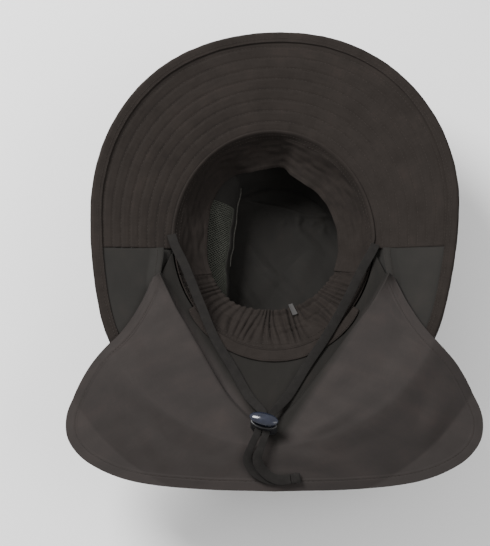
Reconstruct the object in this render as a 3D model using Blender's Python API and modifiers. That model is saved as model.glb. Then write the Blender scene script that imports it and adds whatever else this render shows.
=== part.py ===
"""Sun hat with a neck flap, lying on its crown with the hollow facing up.

Metres, +Z up. The front of the hat points to +Y and the neck flap to -Y.
The origin is the centre of the crown's flat tip, where it rests.
"""
import math

import bmesh
import bpy
from mathutils import Matrix, Vector

# Head line, where crown, brim and sweatband meet
HEAD_HALF_WIDTH = 0.088
HEAD_HALF_LENGTH = 0.101
CROWN_HEIGHT = 0.092

# Crown
CROWN_WALL = 0.0014
TIP_HALF_WIDTH = 0.067
TIP_HALF_LENGTH = 0.077
TIP_SHIFT = 0.005
TIP_CORNER = 0.009
CROWN_BULGE = 0.004
VENT_LEFT_DEG = 180.0
VENT_RIGHT_DEG = -22.0
VENT_HALF_DEG = 31.0
VENT_LOW = 0.030
VENT_HIGH = 0.070
VENT_THICKNESS = 0.001

# Brim
BRIM_WIDTH = 0.0885
BRIM_RISE = 0.024
BRIM_DISH = 0.12
BRIM_SKEW = 0.0025
BRIM_WAVE = 0.0022
BRIM_THICKNESS = 0.0023
BRIM_START = 0.0010
REAR_PLY = 0.001
FRONT_START_DEG = -5.0
FRONT_END_DEG = 185.0
LIP_SETBACK = 0.019
LIP_START_SETBACK = 0.009
LIP_HEIGHT = 0.0045
LIP_WIDTH = 0.012
BINDING_LEG = 0.009
BINDING_WALL = 0.001

# Sweatband
BAND_WIDTH = 0.040
BAND_THICKNESS = 0.0012
BAND_BULGE = 0.003
BAND_FRONT_START_DEG = -17.0
BAND_FRONT_END_DEG = 199.0
GATHERS = 17
GATHER_DEPTH = 0.0011
TAB_WIDTH = 0.008
TAB_LENGTH = 0.010
TAB_THICKNESS = 0.001
TAB_DEG = 291.0

# Neck flap
FLAP_THICKNESS = 0.0011
FLAP_CLEARANCE = 0.0006
FLAP_HALF_WIDTH = 0.1755
FLAP_REACH = 0.222
FLAP_FOLD_HEIGHT = 0.0135
FLAP_FOLD_RUN = 0.0035
FLAP_DROOP = 0.010
HEM_WIDTH = 0.009
HEM_EXTRA = 0.0006
HEM_WAVE = 0.0015
SEAM_TAPE_WIDTH = 0.011
SEAM_TAPE_THICKNESS = 0.001

# Chin strap and cord lock
STRAP_WIDTH = 0.008
STRAP_THICKNESS = 0.001
STRAP_PINCH = 0.75
LOCK_X = -0.0095
LOCK_Y = -0.1725
LOCK_TURN_DEG = -15.0
LOCK_HALF_LENGTH = 0.0112
LOCK_HALF_WIDTH = 0.0052
LOCK_HEIGHT = 0.0110
LOCK_WALL = 0.0018
LOCK_TRAVEL = 0.0025
LOCK_HEAD_HALF_LENGTH = 0.0120
LOCK_HEAD_HALF_WIDTH = 0.0056
LOCK_HEAD_HALF_HEIGHT = 0.0034
LOCK_SLOT_HEIGHT = 0.0045
LOCK_SLOT_FLOOR = 0.0030
STRAP_END_LENGTH = 0.008

FACET_DEG = 5.0
GAP = 0.0003
RUN_GAP = 0.0004
MERGE = 1e-6

# Brim width by the angle from the side seam, -90 at the back and 90 at the front, as a share of BRIM_WIDTH
BRIM_OUTLINE = (
    # degrees, width
    (-90, 0.97),
    (-60, 0.93),
    (-35, 0.845),
    (-15, 0.775),
    (0, 0.785),
    (15, 0.85),
    (36, 0.935),
    (60, 0.99),
    (90, 0.985),
)

# How far the sweatband's free edge leans in, as a share of BAND_WIDTH
BAND_LEAN = (
    # degrees round the head line, inset
    (0, 0.70),
    (22, 0.66),
    (44, 0.70),
    (58, 0.76),
    (72, 0.66),
    (80, 0.50),
    (92, 0.55),
    (108, 0.56),
    (120, 0.42),
    (134, 0.40),
    (150, 0.55),
    (170, 0.70),
    (198, 0.72),
    (225, 0.80),
    (250, 0.93),
    (270, 0.96),
    (300, 0.93),
    (325, 0.84),
    (345, 0.72),
    (360, 0.70),
)

# Places where the soft crown wall has sunk in. Depth is a share of the crown's height
CROWN_DENTS = (
    # degrees, height share, depth, half span in degrees, span above, span below
    (178, 0.42, 0.44, 42, 0.40, 0.30),
    (-24, 0.50, 0.22, 24, 0.36, 0.34),
    (232, 0.46, 0.13, 20, 0.30, 0.30),
    (118, 0.36, 0.05, 17, 0.24, 0.30),
    (58, 0.44, 0.08, 20, 0.34, 0.30),
    (300, 0.40, 0.07, 16, 0.34, 0.30),
)

# The flap from its side to its middle. x is a share of FLAP_HALF_WIDTH, y of FLAP_REACH, fold of FLAP_FOLD_HEIGHT
FLAP_SPOKES = (
    # share, seam degrees from the side, fold x, fold y, fold height, hem x, hem y
    (0.00, 7, 0.560, 0.165, 0.90, 0.590, 0.172),
    (0.10, 12, 0.520, 0.228, 1.00, 0.652, 0.290),
    (0.22, 19, 0.470, 0.300, 1.05, 0.740, 0.410),
    (0.34, 27, 0.408, 0.373, 1.02, 0.870, 0.520),
    (0.44, 34, 0.352, 0.440, 0.94, 0.952, 0.628),
    (0.52, 40, 0.306, 0.495, 0.84, 0.992, 0.720),
    (0.60, 47, 0.262, 0.548, 0.70, 0.972, 0.812),
    (0.68, 55, 0.222, 0.596, 0.55, 0.872, 0.893),
    (0.78, 65, 0.168, 0.655, 0.38, 0.668, 0.958),
    (0.90, 78, 0.085, 0.725, 0.20, 0.340, 0.990),
    (1.00, 90, 0.000, 0.770, 0.12, 0.000, 1.000),
)

# Soft creases of the flap. x is a share of FLAP_HALF_WIDTH, y of FLAP_REACH
FLAP_CREASES = (
    # start x, start y, end x, end y, half width in metres, height in metres
    (0.02, -0.80, 0.52, -0.56, 0.007, 0.0022),
    (0.05, -0.86, 0.62, -0.72, 0.008, 0.0018),
    (-0.20, -0.83, -0.72, -0.60, 0.009, 0.0020),
    (-0.30, -0.95, -0.62, -0.74, 0.007, 0.0016),
    (0.66, -0.86, 0.84, -0.60, 0.008, 0.0016),
)

# Chin strap routes from the head line to the cord lock, and the tails beyond it.
# x, y, and the height above the flap where the strap lies, in metres
LEFT_ROUTE = (
    (-0.0890, 0.0030, 0.0018),
    (-0.0855, -0.0080, 0.0038),
    (-0.0765, -0.0270, 0.0040),
    (-0.0640, -0.0580, 0.0032),
    (-0.0510, -0.0900, 0.0044),
    (-0.0350, -0.1180, 0.0026),
    (-0.0215, -0.1430, 0.0030),
)
RIGHT_ROUTE = (
    (0.0890, -0.0060, 0.0018),
    (0.0845, -0.0150, 0.0038),
    (0.0755, -0.0310, 0.0040),
    (0.0610, -0.0600, 0.0032),
    (0.0445, -0.0890, 0.0050),
    (0.0270, -0.1160, 0.0036),
    (0.0115, -0.1420, 0.0030),
)
LEFT_TAIL = (
    (-0.0205, -0.1890, 0.0066),
    (-0.0228, -0.1975, 0.0054),
    (-0.0180, -0.2060, 0.0050),
    (-0.0080, -0.2120, 0.0049),
    (0.0030, -0.2135, 0.0049),
    (0.0120, -0.2125, 0.0049),
)
RIGHT_TAIL = (
    (-0.0122, -0.1895, 0.0092),
    (-0.0148, -0.1965, 0.0080),
    (-0.0120, -0.2040, 0.0070),
    (-0.0050, -0.2105, 0.0064),
    (0.0035, -0.2135, 0.0063),
    (0.0120, -0.2125, 0.0063),
)
STRAP_STEP = 0.0055


def clear_scene():
    for obj in list(bpy.data.objects):
        bpy.data.objects.remove(obj, do_unlink=True)


def table_value(rows, at, column):
    """A column of a table, read smoothly between the rows, whose first column rises."""
    last = len(rows) - 1
    index = 0
    while index < last - 1 and at > rows[index + 1][0]:
        index += 1
    before = rows[max(index - 1, 0)]
    low = rows[index]
    high = rows[index + 1]
    after = rows[min(index + 2, last)]
    span = high[0] - low[0]
    share = min(max((at - low[0]) / span, 0.0), 1.0)
    low_slope = (high[column] - before[column]) / max(high[0] - before[0], MERGE) * span
    high_slope = (after[column] - low[column]) / max(after[0] - low[0], MERGE) * span
    square = share * share
    cube = square * share
    return (
        low[column] * (2 * cube - 3 * square + 1)
        + low_slope * (cube - 2 * square + share)
        + high[column] * (3 * square - 2 * cube)
        + high_slope * (cube - square)
    )


def hump(distance):
    """1 at zero, falling smoothly to 0 at 1 and beyond."""
    inside = max(1.0 - distance * distance, 0.0)
    return inside * inside


def head_point(theta):
    return Vector((HEAD_HALF_WIDTH * math.cos(theta), HEAD_HALF_LENGTH * math.sin(theta), 0.0))


def head_normal(theta):
    slope = Vector((math.cos(theta) / HEAD_HALF_WIDTH, math.sin(theta) / HEAD_HALF_LENGTH, 0.0))
    return slope.normalized()


def head_place(x, y):
    """The head-line angle nearest to a place, and the distance outward from the head line."""
    a, b = HEAD_HALF_WIDTH, HEAD_HALF_LENGTH
    theta = math.atan2(y / b, x / a)
    for _ in range(8):
        sine, cosine = math.sin(theta), math.cos(theta)
        error = (a * a - b * b) * sine * cosine - x * a * sine + y * b * cosine
        slope = (a * a - b * b) * (cosine * cosine - sine * sine) - x * a * cosine - y * b * sine
        theta -= error / slope
    distance = (Vector((x, y, 0.0)) - head_point(theta)).dot(head_normal(theta))
    return theta, distance


def brim_reach(theta):
    """Level distance from the head line to the brim's outer edge."""
    side_angle = math.degrees(math.asin(max(-1.0, min(1.0, math.sin(theta)))))
    return BRIM_WIDTH * table_value(BRIM_OUTLINE, side_angle, 1) + BRIM_SKEW * math.sin(2 * theta)


def brim_rise(theta, share):
    wave = BRIM_WAVE * (math.sin(3 * theta + 0.6) + 0.5 * math.sin(5 * theta + 2.0))
    return (BRIM_RISE + wave * share) * (share + BRIM_DISH * share * (1.0 - share))


def brim_point(theta, out, lift=0.0):
    """A place on the brim's middle surface, out from the head line, raised square to the brim."""
    share = out / brim_reach(theta)
    slope = math.atan2(BRIM_RISE, brim_reach(theta))
    level = out - lift * math.sin(slope)
    height = CROWN_HEIGHT + brim_rise(theta, share) + lift * math.cos(slope)
    point = head_point(theta) + head_normal(theta) * level
    return Vector((point.x, point.y, height))


def flap_lift():
    """Height of the flap's middle above the brim's middle, clear of the rear ply under it."""
    return BRIM_THICKNESS / 2 + GAP + FLAP_THICKNESS / 2 + FLAP_CLEARANCE


def cover_height(x, y):
    """Height of the flap's middle where it lies on the brim, or droops past the brim's edge."""
    theta, out = head_place(x, y)
    reach = brim_reach(theta)
    share = min(max(out, 0.0), reach) / reach
    past = max(out - reach, 0.0)
    over_binding = hump(max(reach - BINDING_LEG - out, past) / (2 * BINDING_LEG)) * (BINDING_WALL + 2 * GAP)
    droop = FLAP_DROOP * (past / (FLAP_REACH - HEAD_HALF_LENGTH - BRIM_WIDTH * BRIM_OUTLINE[0][1])) ** 1.4
    return CROWN_HEIGHT + brim_rise(theta, share) + flap_lift() + over_binding - min(droop, 1.6 * FLAP_DROOP)


def crease_height(x, y):
    """Height that the soft creases add at a place on the flap."""
    height = 0.0
    for x0, y0, x1, y1, half_width, rise in FLAP_CREASES:
        start = Vector((x0 * FLAP_HALF_WIDTH, y0 * FLAP_REACH))
        along = Vector((x1 * FLAP_HALF_WIDTH, y1 * FLAP_REACH)) - start
        offset = Vector((x, y)) - start
        share = offset.dot(along) / along.length_squared
        away = (offset - along * share).length / (2 * half_width)
        height += rise * hump(away) * hump(2 * share - 1)
    return height


def flap_point(u, v):
    """The flap's middle surface: u runs from the left side to the right, v from the head line to the hem."""
    side = -1.0 if u < 0.5 else 1.0
    share = 1.0 - abs(2 * u - 1)
    seam_deg, fold_x, fold_y, fold, hem_x, hem_y = (
        table_value(FLAP_SPOKES, share, column) for column in range(1, 7)
    )
    middle = hump(1.0 - share)
    theta = math.radians(270 + side * (90 - seam_deg))
    seam = head_point(theta) + head_normal(theta) * (BAND_THICKNESS / 2)
    ridge = Vector((side * fold_x * FLAP_HALF_WIDTH + LOCK_X * middle, -fold_y * FLAP_REACH, 0.0))
    hem = Vector((side * hem_x * FLAP_HALF_WIDTH, -hem_y * FLAP_REACH, 0.0))
    foot = ridge + (seam - ridge).normalized() * FLAP_FOLD_RUN
    if v <= FOLD_FOOT:
        place = seam.lerp(foot, v / FOLD_FOOT)
        rise = 0.0
    elif v <= FOLD_TOP:
        step = (v - FOLD_FOOT) / (FOLD_TOP - FOLD_FOOT)
        place = foot.lerp(ridge, step)
        rise = fold * FLAP_FOLD_HEIGHT * step
    else:
        step = (v - FOLD_TOP) / (1.0 - FOLD_TOP)
        place = ridge.lerp(hem, step)
        rise = fold * FLAP_FOLD_HEIGHT * (1.0 - step) ** 1.3
        rise += HEM_WAVE * step * step * (1.0 + math.sin(13 * u + 2.0))
        rise += crease_height(place.x, place.y) * min(4 * step, 1.0)
    return Vector((place.x, place.y, cover_height(place.x, place.y) + rise))


FOLD_FOOT = 4 / 12
FOLD_TOP = 6 / 12


def crown_ring(theta, share):
    """A place on the crown's middle surface; share is 0 at the tip's corner and 1 at the head line."""
    tip = Vector((TIP_SHIFT + TIP_HALF_WIDTH * math.cos(theta), TIP_HALF_LENGTH * math.sin(theta), 0.0))
    top = head_point(theta) + head_normal(theta) * (CROWN_WALL / 2 + GAP)
    outward = head_normal(theta)
    swell = CROWN_BULGE * math.sin(math.pi * share)
    for degrees, at, depth, half_span, above, below in CROWN_DENTS:
        turn = (math.degrees(theta) - degrees + 180) % 360 - 180
        height = (share - at) / (above if share > at else below)
        swell -= depth * CROWN_HEIGHT * hump(turn / (1.3 * half_span)) * hump(height) ** 0.75
    point = tip.lerp(top, share) + outward * swell
    low = TIP_CORNER + GAP / 2
    high = CROWN_HEIGHT - BRIM_THICKNESS / 2 - GAP
    return Vector((point.x, point.y, low + (high - low) * share))


def wall_share(height):
    """The share up the crown wall at a height above the surface it rests on."""
    return (height - TIP_CORNER) / (CROWN_HEIGHT - TIP_CORNER)


def tip_point(theta, share):
    """The tip: flat inside, its rim turning up to meet the wall. share is 0 at the middle and 1 at the rim."""
    flat = Vector((TIP_HALF_WIDTH - TIP_CORNER, TIP_HALF_LENGTH - TIP_CORNER))
    if share <= TIP_FLAT:
        reach = share / TIP_FLAT
        x, y = flat.x * reach * math.cos(theta), flat.y * reach * math.sin(theta)
        return Vector((TIP_SHIFT + x, y, CROWN_WALL / 2))
    turn = (share - TIP_FLAT) / (1 - TIP_FLAT) * math.pi / 2
    out = math.sin(turn) * TIP_CORNER
    rise = (1 - math.cos(turn)) * (TIP_CORNER - CROWN_WALL / 2 - GAP / 2)
    x = (flat.x + out) * math.cos(theta)
    y = (flat.y + out) * math.sin(theta)
    return Vector((TIP_SHIFT + x, y, CROWN_WALL / 2 + rise))


TIP_FLAT = 0.6


def band_point(theta, share, lift=0.0):
    """The sweatband's middle surface; share is 0 at the head line and 1 at the free edge, lift is towards the head."""
    degrees = math.degrees(theta) % 360
    inset = BAND_WIDTH * table_value(BAND_LEAN, degrees, 1)
    drop = math.sqrt(BAND_WIDTH**2 - inset**2)
    inward = -head_normal(theta)
    bend = math.sin(math.pi * share)
    square = Vector((inward.x * drop, inward.y * drop, inset)) / BAND_WIDTH
    top = head_point(theta) + inward * (BAND_THICKNESS / 2 + GAP)
    top.z = CROWN_HEIGHT + BRIM_THICKNESS / 2
    along = inward * inset - Vector((0.0, 0.0, drop))
    return top + along * share + square * (lift - BAND_BULGE * bend)


def gathered_band_point(theta, share):
    """The rear of the sweatband, drawn into small gathers by its elastic."""
    span = (theta - math.radians(BAND_FRONT_END_DEG)) / math.radians(
        360 + BAND_FRONT_START_DEG - BAND_FRONT_END_DEG
    )
    ripple = GATHER_DEPTH * math.sin(2 * math.pi * GATHERS * span) * math.sin(math.pi * min(share, 0.75))
    return band_point(theta, share, ripple)


def material(name, colour, roughness, metallic=0.0):
    made = bpy.data.materials.get(name) or bpy.data.materials.new(name)
    made.use_nodes = True
    shader = made.node_tree.nodes["Principled BSDF"]
    shader.inputs["Base Color"].default_value = (*colour, 1.0)
    shader.inputs["Roughness"].default_value = roughness
    shader.inputs["Metallic"].default_value = metallic
    return made


def linked(name, data, collection, finish):
    obj = bpy.data.objects.new(name, data)
    collection.objects.link(obj)
    if finish:
        obj.data.materials.append(finish)
    return obj


def thicken(obj, thickness):
    solid = obj.modifiers.new("Thickness", "SOLIDIFY")
    solid.thickness = thickness
    solid.offset = 0.0
    solid.use_even_offset = True
    solid.use_quality_normals = True
    return solid


def cloth(name, collection, finish, size, place, thickness, hole=None):
    """A sewn piece: a flat grid of size columns and rows, placed by a function of its two shares, made thick.

    Faces whose middle is in the hole are left out. A grid whose sides meet becomes a ring.
    """
    columns, rows = size
    shape = bmesh.new()
    bmesh.ops.create_grid(shape, x_segments=columns, y_segments=rows, size=0.5)
    for vertex in shape.verts:
        vertex.co += Vector((0.5, 0.5, 0.0))
    if hole:
        inside = [face for face in shape.faces if hole(*face.calc_center_median().xy)]
        bmesh.ops.delete(shape, geom=inside, context="FACES")
    for vertex in shape.verts:
        vertex.co = place(vertex.co.x, vertex.co.y)
    bmesh.ops.remove_doubles(shape, verts=shape.verts, dist=MERGE)
    bmesh.ops.recalc_face_normals(shape, faces=shape.faces)
    mesh = bpy.data.meshes.new(name)
    shape.to_mesh(mesh)
    shape.free()
    mesh.shade_smooth()
    obj = linked(name, mesh, collection, finish)
    if thickness:
        thicken(obj, thickness)
    return obj


def between(start, end, share):
    return start + (end - start) * share


def build_crown(collection, fabric, net):
    """Crown wall with a window at each side, the two net vents in them, and the tip."""
    low, high = wall_share(VENT_LOW), wall_share(VENT_HIGH)
    columns, rows = 56, 9
    row_low, row_high = round(low * rows), round(high * rows)

    def snapped(degrees):
        return round(degrees / 360 * columns) / columns

    windows = []
    for centre in (VENT_RIGHT_DEG, VENT_LEFT_DEG):
        windows.append((snapped(centre - VENT_HALF_DEG), snapped(centre + VENT_HALF_DEG)))

    def in_window(u, v):
        if not row_low / rows < v < row_high / rows:
            return False
        return any(start < turn < end for start, end in windows for turn in (u, u - 1))

    def wall_place(u, v):
        return crown_ring(2 * math.pi * u, v)

    cloth("crown_wall", collection, fabric, (columns, rows), wall_place, CROWN_WALL, hole=in_window)
    around = GAP / (math.pi * (HEAD_HALF_WIDTH + HEAD_HALF_LENGTH))
    upward = GAP / CROWN_HEIGHT
    for name, (start, end) in zip(("vent_net_right", "vent_net_left"), windows):

        def vent_place(u, v, start=start, end=end):
            turn = between(start + around, end - around, u)
            return crown_ring(2 * math.pi * turn, between(row_low / rows + upward, row_high / rows - upward, v))

        size = (round((end - start) * columns), row_high - row_low)
        cloth(name, collection, net, size, vent_place, VENT_THICKNESS)

    def tip_place(u, v):
        return tip_point(2 * math.pi * u, v)

    cloth("crown_tip", collection, fabric, (36, 4), tip_place, CROWN_WALL)


def edge_of_brim(theta):
    """Outer edge of the brim's cloth, inside the binding."""
    return brim_reach(theta) - BINDING_WALL - GAP


def build_brim(collection, stitched, smooth_cloth, trim):
    """Stiff stitched front, thin two-ply rear with its inner lip, and the binding round the edge."""
    start, end = math.radians(FRONT_START_DEG), math.radians(FRONT_END_DEG)
    front_columns = round((FRONT_END_DEG - FRONT_START_DEG) / FACET_DEG)
    rear_columns = round((360 + FRONT_START_DEG - FRONT_END_DEG) / FACET_DEG)
    seam_turn = GAP / (2 * HEAD_HALF_WIDTH)

    def front_place(u, v):
        theta = between(start, end, u)
        return brim_point(theta, between(BRIM_START, edge_of_brim(theta), v))

    cloth("brim_front", collection, stitched, (front_columns, 3), front_place, BRIM_THICKNESS)

    rear_start = end + seam_turn
    rear_end = start + 2 * math.pi - seam_turn
    ply_offset = (BRIM_THICKNESS - REAR_PLY) / 2

    def shell_place(u, v):
        theta = between(rear_start, rear_end, u)
        return brim_point(theta, between(BRIM_START, edge_of_brim(theta), v), -ply_offset)

    cloth("rear_brim_shell", collection, smooth_cloth, (rear_columns, 3), shell_place, REAR_PLY)

    def lip_setback(u):
        along = min(u, 1 - u) * 2
        return between(LIP_START_SETBACK, LIP_SETBACK, min(along * 5, 1.0))

    def lip_place(u, v):
        theta = between(rear_start, rear_end, u)
        out = between(lip_setback(u), edge_of_brim(theta), v**1.4)
        open_share = hump((min(u, 1 - u) - 0.07) / 0.13)
        lift = LIP_HEIGHT * open_share * hump((out - lip_setback(u)) / LIP_WIDTH)
        return brim_point(theta, out, ply_offset + lift)

    cloth("rear_brim_lining", collection, smooth_cloth, (rear_columns, 4), lip_place, REAR_PLY)

    inner = BRIM_THICKNESS / 2 + GAP
    outer = inner + BINDING_WALL
    corners = (
        # distance in from the edge, height
        (BINDING_LEG, outer),
        (0.0, outer),
        (0.0, -outer),
        (BINDING_LEG, -outer),
        (BINDING_LEG, -inner),
        (BINDING_WALL, -inner),
        (BINDING_WALL, inner),
        (BINDING_LEG, inner),
    )

    def binding_place(u, v):
        theta = 2 * math.pi * u
        inward, height = corners[round(v * len(corners)) % len(corners)]
        return brim_point(theta, brim_reach(theta) - inward, height)

    cloth("brim_binding", collection, trim, (round(360 / FACET_DEG), len(corners)), binding_place, 0.0)


def build_sweatband(collection, stitched, tab_cloth):
    """Smooth front of the band, its gathered rear, and the small tab on the rear."""
    seam_turn = GAP / HEAD_HALF_WIDTH
    start, end = math.radians(BAND_FRONT_START_DEG), math.radians(BAND_FRONT_END_DEG)

    def front_place(u, v):
        return band_point(between(start, end, u), v)

    cloth("sweatband_front", collection, stitched, (36, 3), front_place, BAND_THICKNESS)
    rear_start, rear_end = end + seam_turn, start + 2 * math.pi - seam_turn

    def rear_place(u, v):
        return gathered_band_point(between(rear_start, rear_end, u), v)

    cloth("sweatband_rear", collection, stitched, (GATHERS * 4, 3), rear_place, BAND_THICKNESS)
    half_turn = TAB_WIDTH / (HEAD_HALF_WIDTH + HEAD_HALF_LENGTH)
    middle = math.radians(TAB_DEG)
    clear = (BAND_THICKNESS + TAB_THICKNESS) / 2 + GATHER_DEPTH + GAP
    start_share = 1 - 0.8 * TAB_LENGTH / BAND_WIDTH
    end_share = start_share + TAB_LENGTH / BAND_WIDTH

    def tab_place(u, v):
        theta = between(middle - half_turn, middle + half_turn, u)
        return band_point(theta, between(start_share, end_share, v), clear)

    cloth("size_tab", collection, tab_cloth, (2, 3), tab_place, TAB_THICKNESS)


def build_flap(collection, smooth_cloth, stitched):
    """The neck flap with its thick hem, and the tape that covers its seam at the back of the head line."""
    flap = cloth("neck_flap", collection, smooth_cloth, (42, 12), flap_point, FLAP_THICKNESS)
    start, end = math.radians(200), math.radians(340)
    lift = flap_lift() + FLAP_THICKNESS / 2 + GAP + SEAM_TAPE_THICKNESS / 2

    def tape_place(u, v):
        theta = between(start, end, u)
        ends = hump(2 * u - 1) ** 0.25
        out = between(BAND_THICKNESS / 2, SEAM_TAPE_WIDTH * between(0.5, 1.0, ends), v)
        return brim_point(theta, out, lift)

    cloth("flap_seam_tape", collection, stitched, (28, 2), tape_place, SEAM_TAPE_THICKNESS)
    return flap


def lock_frame():
    """The cord lock's own frame: it stands square to the flap, turned a little. X is along it, Y is up the strap."""
    slope_run = 2 * LOCK_HALF_WIDTH
    behind = cover_height(LOCK_X, LOCK_Y - LOCK_HALF_WIDTH)
    ahead = cover_height(LOCK_X, LOCK_Y + LOCK_HALF_WIDTH)
    tilt = math.atan2(behind - ahead, slope_run)
    base = cover_height(LOCK_X, LOCK_Y) + FLAP_THICKNESS / 2 + LOCK_SEAT
    turn = Matrix.Rotation(math.radians(LOCK_TURN_DEG), 4, "Z")
    return Matrix.Translation((LOCK_X, LOCK_Y, base)) @ Matrix.Rotation(-tilt, 4, "X") @ turn


LOCK_SEAT = 0.0036


def strap_level():
    """Height of the straps inside the lock, held between the slot's roof and the plunger's sill."""
    roof = LOCK_SLOT_FLOOR + LOCK_SLOT_HEIGHT
    return roof - RUN_GAP - STRAP_THICKNESS * STRAP_PINCH / 2


def primitive(name, collection, finish, make):
    shape = bmesh.new()
    make(shape)
    mesh = bpy.data.meshes.new(name)
    shape.to_mesh(mesh)
    shape.free()
    return linked(name, mesh, collection, finish)


def oval_post(half_length, half_width, low, high, segments=20):
    """A maker of an upright oval cylinder between two heights."""

    def make(shape):
        bmesh.ops.create_cone(
            shape, cap_ends=True, segments=segments, radius1=1.0, radius2=1.0, depth=high - low
        )
        bmesh.ops.scale(shape, vec=(half_length, half_width, 1.0), verts=shape.verts)
        bmesh.ops.translate(shape, vec=(0, 0, (low + high) / 2), verts=shape.verts)

    return make


def block(half_length, half_width, low, high):
    def make(shape):
        bmesh.ops.create_cube(shape, size=1.0)
        bmesh.ops.scale(shape, vec=(2 * half_length, 2 * half_width, high - low), verts=shape.verts)
        bmesh.ops.translate(shape, vec=(0, 0, (low + high) / 2), verts=shape.verts)

    return make


def combine(obj, other, operation):
    step = obj.modifiers.new(operation.title(), "BOOLEAN")
    step.operation = operation
    step.object = other
    other.hide_render = True
    other.display_type = "WIRE"


def build_lock(collection, cutters, body_plastic, head_plastic):
    """Cord lock: an oval barrel with a slot through it, and a plunger whose sill grips the straps."""
    frame = lock_frame()
    slot_half = STRAP_WIDTH * STRAP_PINCH + 2 * RUN_GAP
    cavity_length = LOCK_HALF_LENGTH - LOCK_WALL
    cavity_width = LOCK_HALF_WIDTH - LOCK_WALL
    floor = LOCK_WALL * 0.8
    barrel = primitive(
        "cord_lock_barrel", collection, body_plastic,
        oval_post(LOCK_HALF_LENGTH, LOCK_HALF_WIDTH, 0.0, LOCK_HEIGHT),
    )
    cavity = primitive(
        "barrel_cavity", cutters, None,
        oval_post(cavity_length, cavity_width, floor, 2 * LOCK_HEIGHT),
    )
    slot_top = LOCK_SLOT_FLOOR + LOCK_SLOT_HEIGHT
    slot = primitive("barrel_slot", cutters, None, block(slot_half, 2 * LOCK_HALF_WIDTH, LOCK_SLOT_FLOOR, slot_top))
    combine(barrel, cavity, "DIFFERENCE")
    combine(barrel, slot, "DIFFERENCE")

    sill = strap_level() - STRAP_THICKNESS * STRAP_PINCH / 2 - RUN_GAP
    stem_low = floor + LOCK_TRAVEL + GAP
    head_low = LOCK_HEIGHT + LOCK_TRAVEL + GAP
    head_middle = head_low + LOCK_HEAD_HALF_HEIGHT
    plunger = primitive(
        "cord_lock_plunger", collection, head_plastic,
        oval_post(cavity_length - RUN_GAP, cavity_width - RUN_GAP, stem_low, head_middle),
    )

    def make_head(shape):
        bmesh.ops.create_uvsphere(shape, u_segments=20, v_segments=8, radius=1.0)
        size = (LOCK_HEAD_HALF_LENGTH, LOCK_HEAD_HALF_WIDTH, LOCK_HEAD_HALF_HEIGHT)
        bmesh.ops.scale(shape, vec=size, verts=shape.verts)
        bmesh.ops.translate(shape, vec=(0, 0, head_middle), verts=shape.verts)

    head = primitive("plunger_head", cutters, None, make_head)
    window = primitive(
        "plunger_window", cutters, None, block(slot_half, LOCK_HALF_WIDTH, sill, sill + LOCK_SLOT_HEIGHT)
    )
    combine(plunger, head, "UNION")
    combine(plunger, window, "DIFFERENCE")
    for obj in (barrel, cavity, slot, plunger, head, window):
        obj.matrix_world = frame
    return frame


def on_flap(places):
    return [Vector((x, y, cover_height(x, y) + lift)) for x, y, lift in places]


def strap_points(route, tail, frame, side):
    """The strap's smooth line: down to the lock, straight through it, and along the tail."""
    half = side * (STRAP_WIDTH * STRAP_PINCH / 2 + RUN_GAP)
    through = []
    for along in (2.2, 1.1, 0.0, -1.1, -2.0):
        through.append(frame @ Vector((half, along * LOCK_HALF_WIDTH, strap_level())))
    chosen = on_flap(route) + through + on_flap(tail)
    pinched = range(len(route), len(route) + len(through) + 1)
    line = []
    for index in range(len(chosen) - 1):
        before = chosen[max(index - 1, 0)]
        low, high = chosen[index], chosen[index + 1]
        after = chosen[min(index + 2, len(chosen) - 1)]
        steps = max(1, round((high - low).length / STRAP_STEP))
        for step in range(steps):
            share = step / steps
            width = between(
                STRAP_PINCH if index in pinched else 1.0,
                STRAP_PINCH if index + 1 in pinched else 1.0,
                share,
            )
            line.append((curve_between(before, low, high, after, share), width))
    line.append((chosen[-1], 1.0))
    return line


def curve_between(before, low, high, after, share):
    """A point between low and high on the smooth curve through all four."""
    square = share * share
    cube = square * share
    low_slope = (high - before) / 2
    high_slope = (after - low) / 2
    return (
        low * (2 * cube - 3 * square + 1)
        + low_slope * (cube - 2 * square + share)
        + high * (3 * square - 2 * cube)
        + high_slope * (cube - square)
    )


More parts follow.
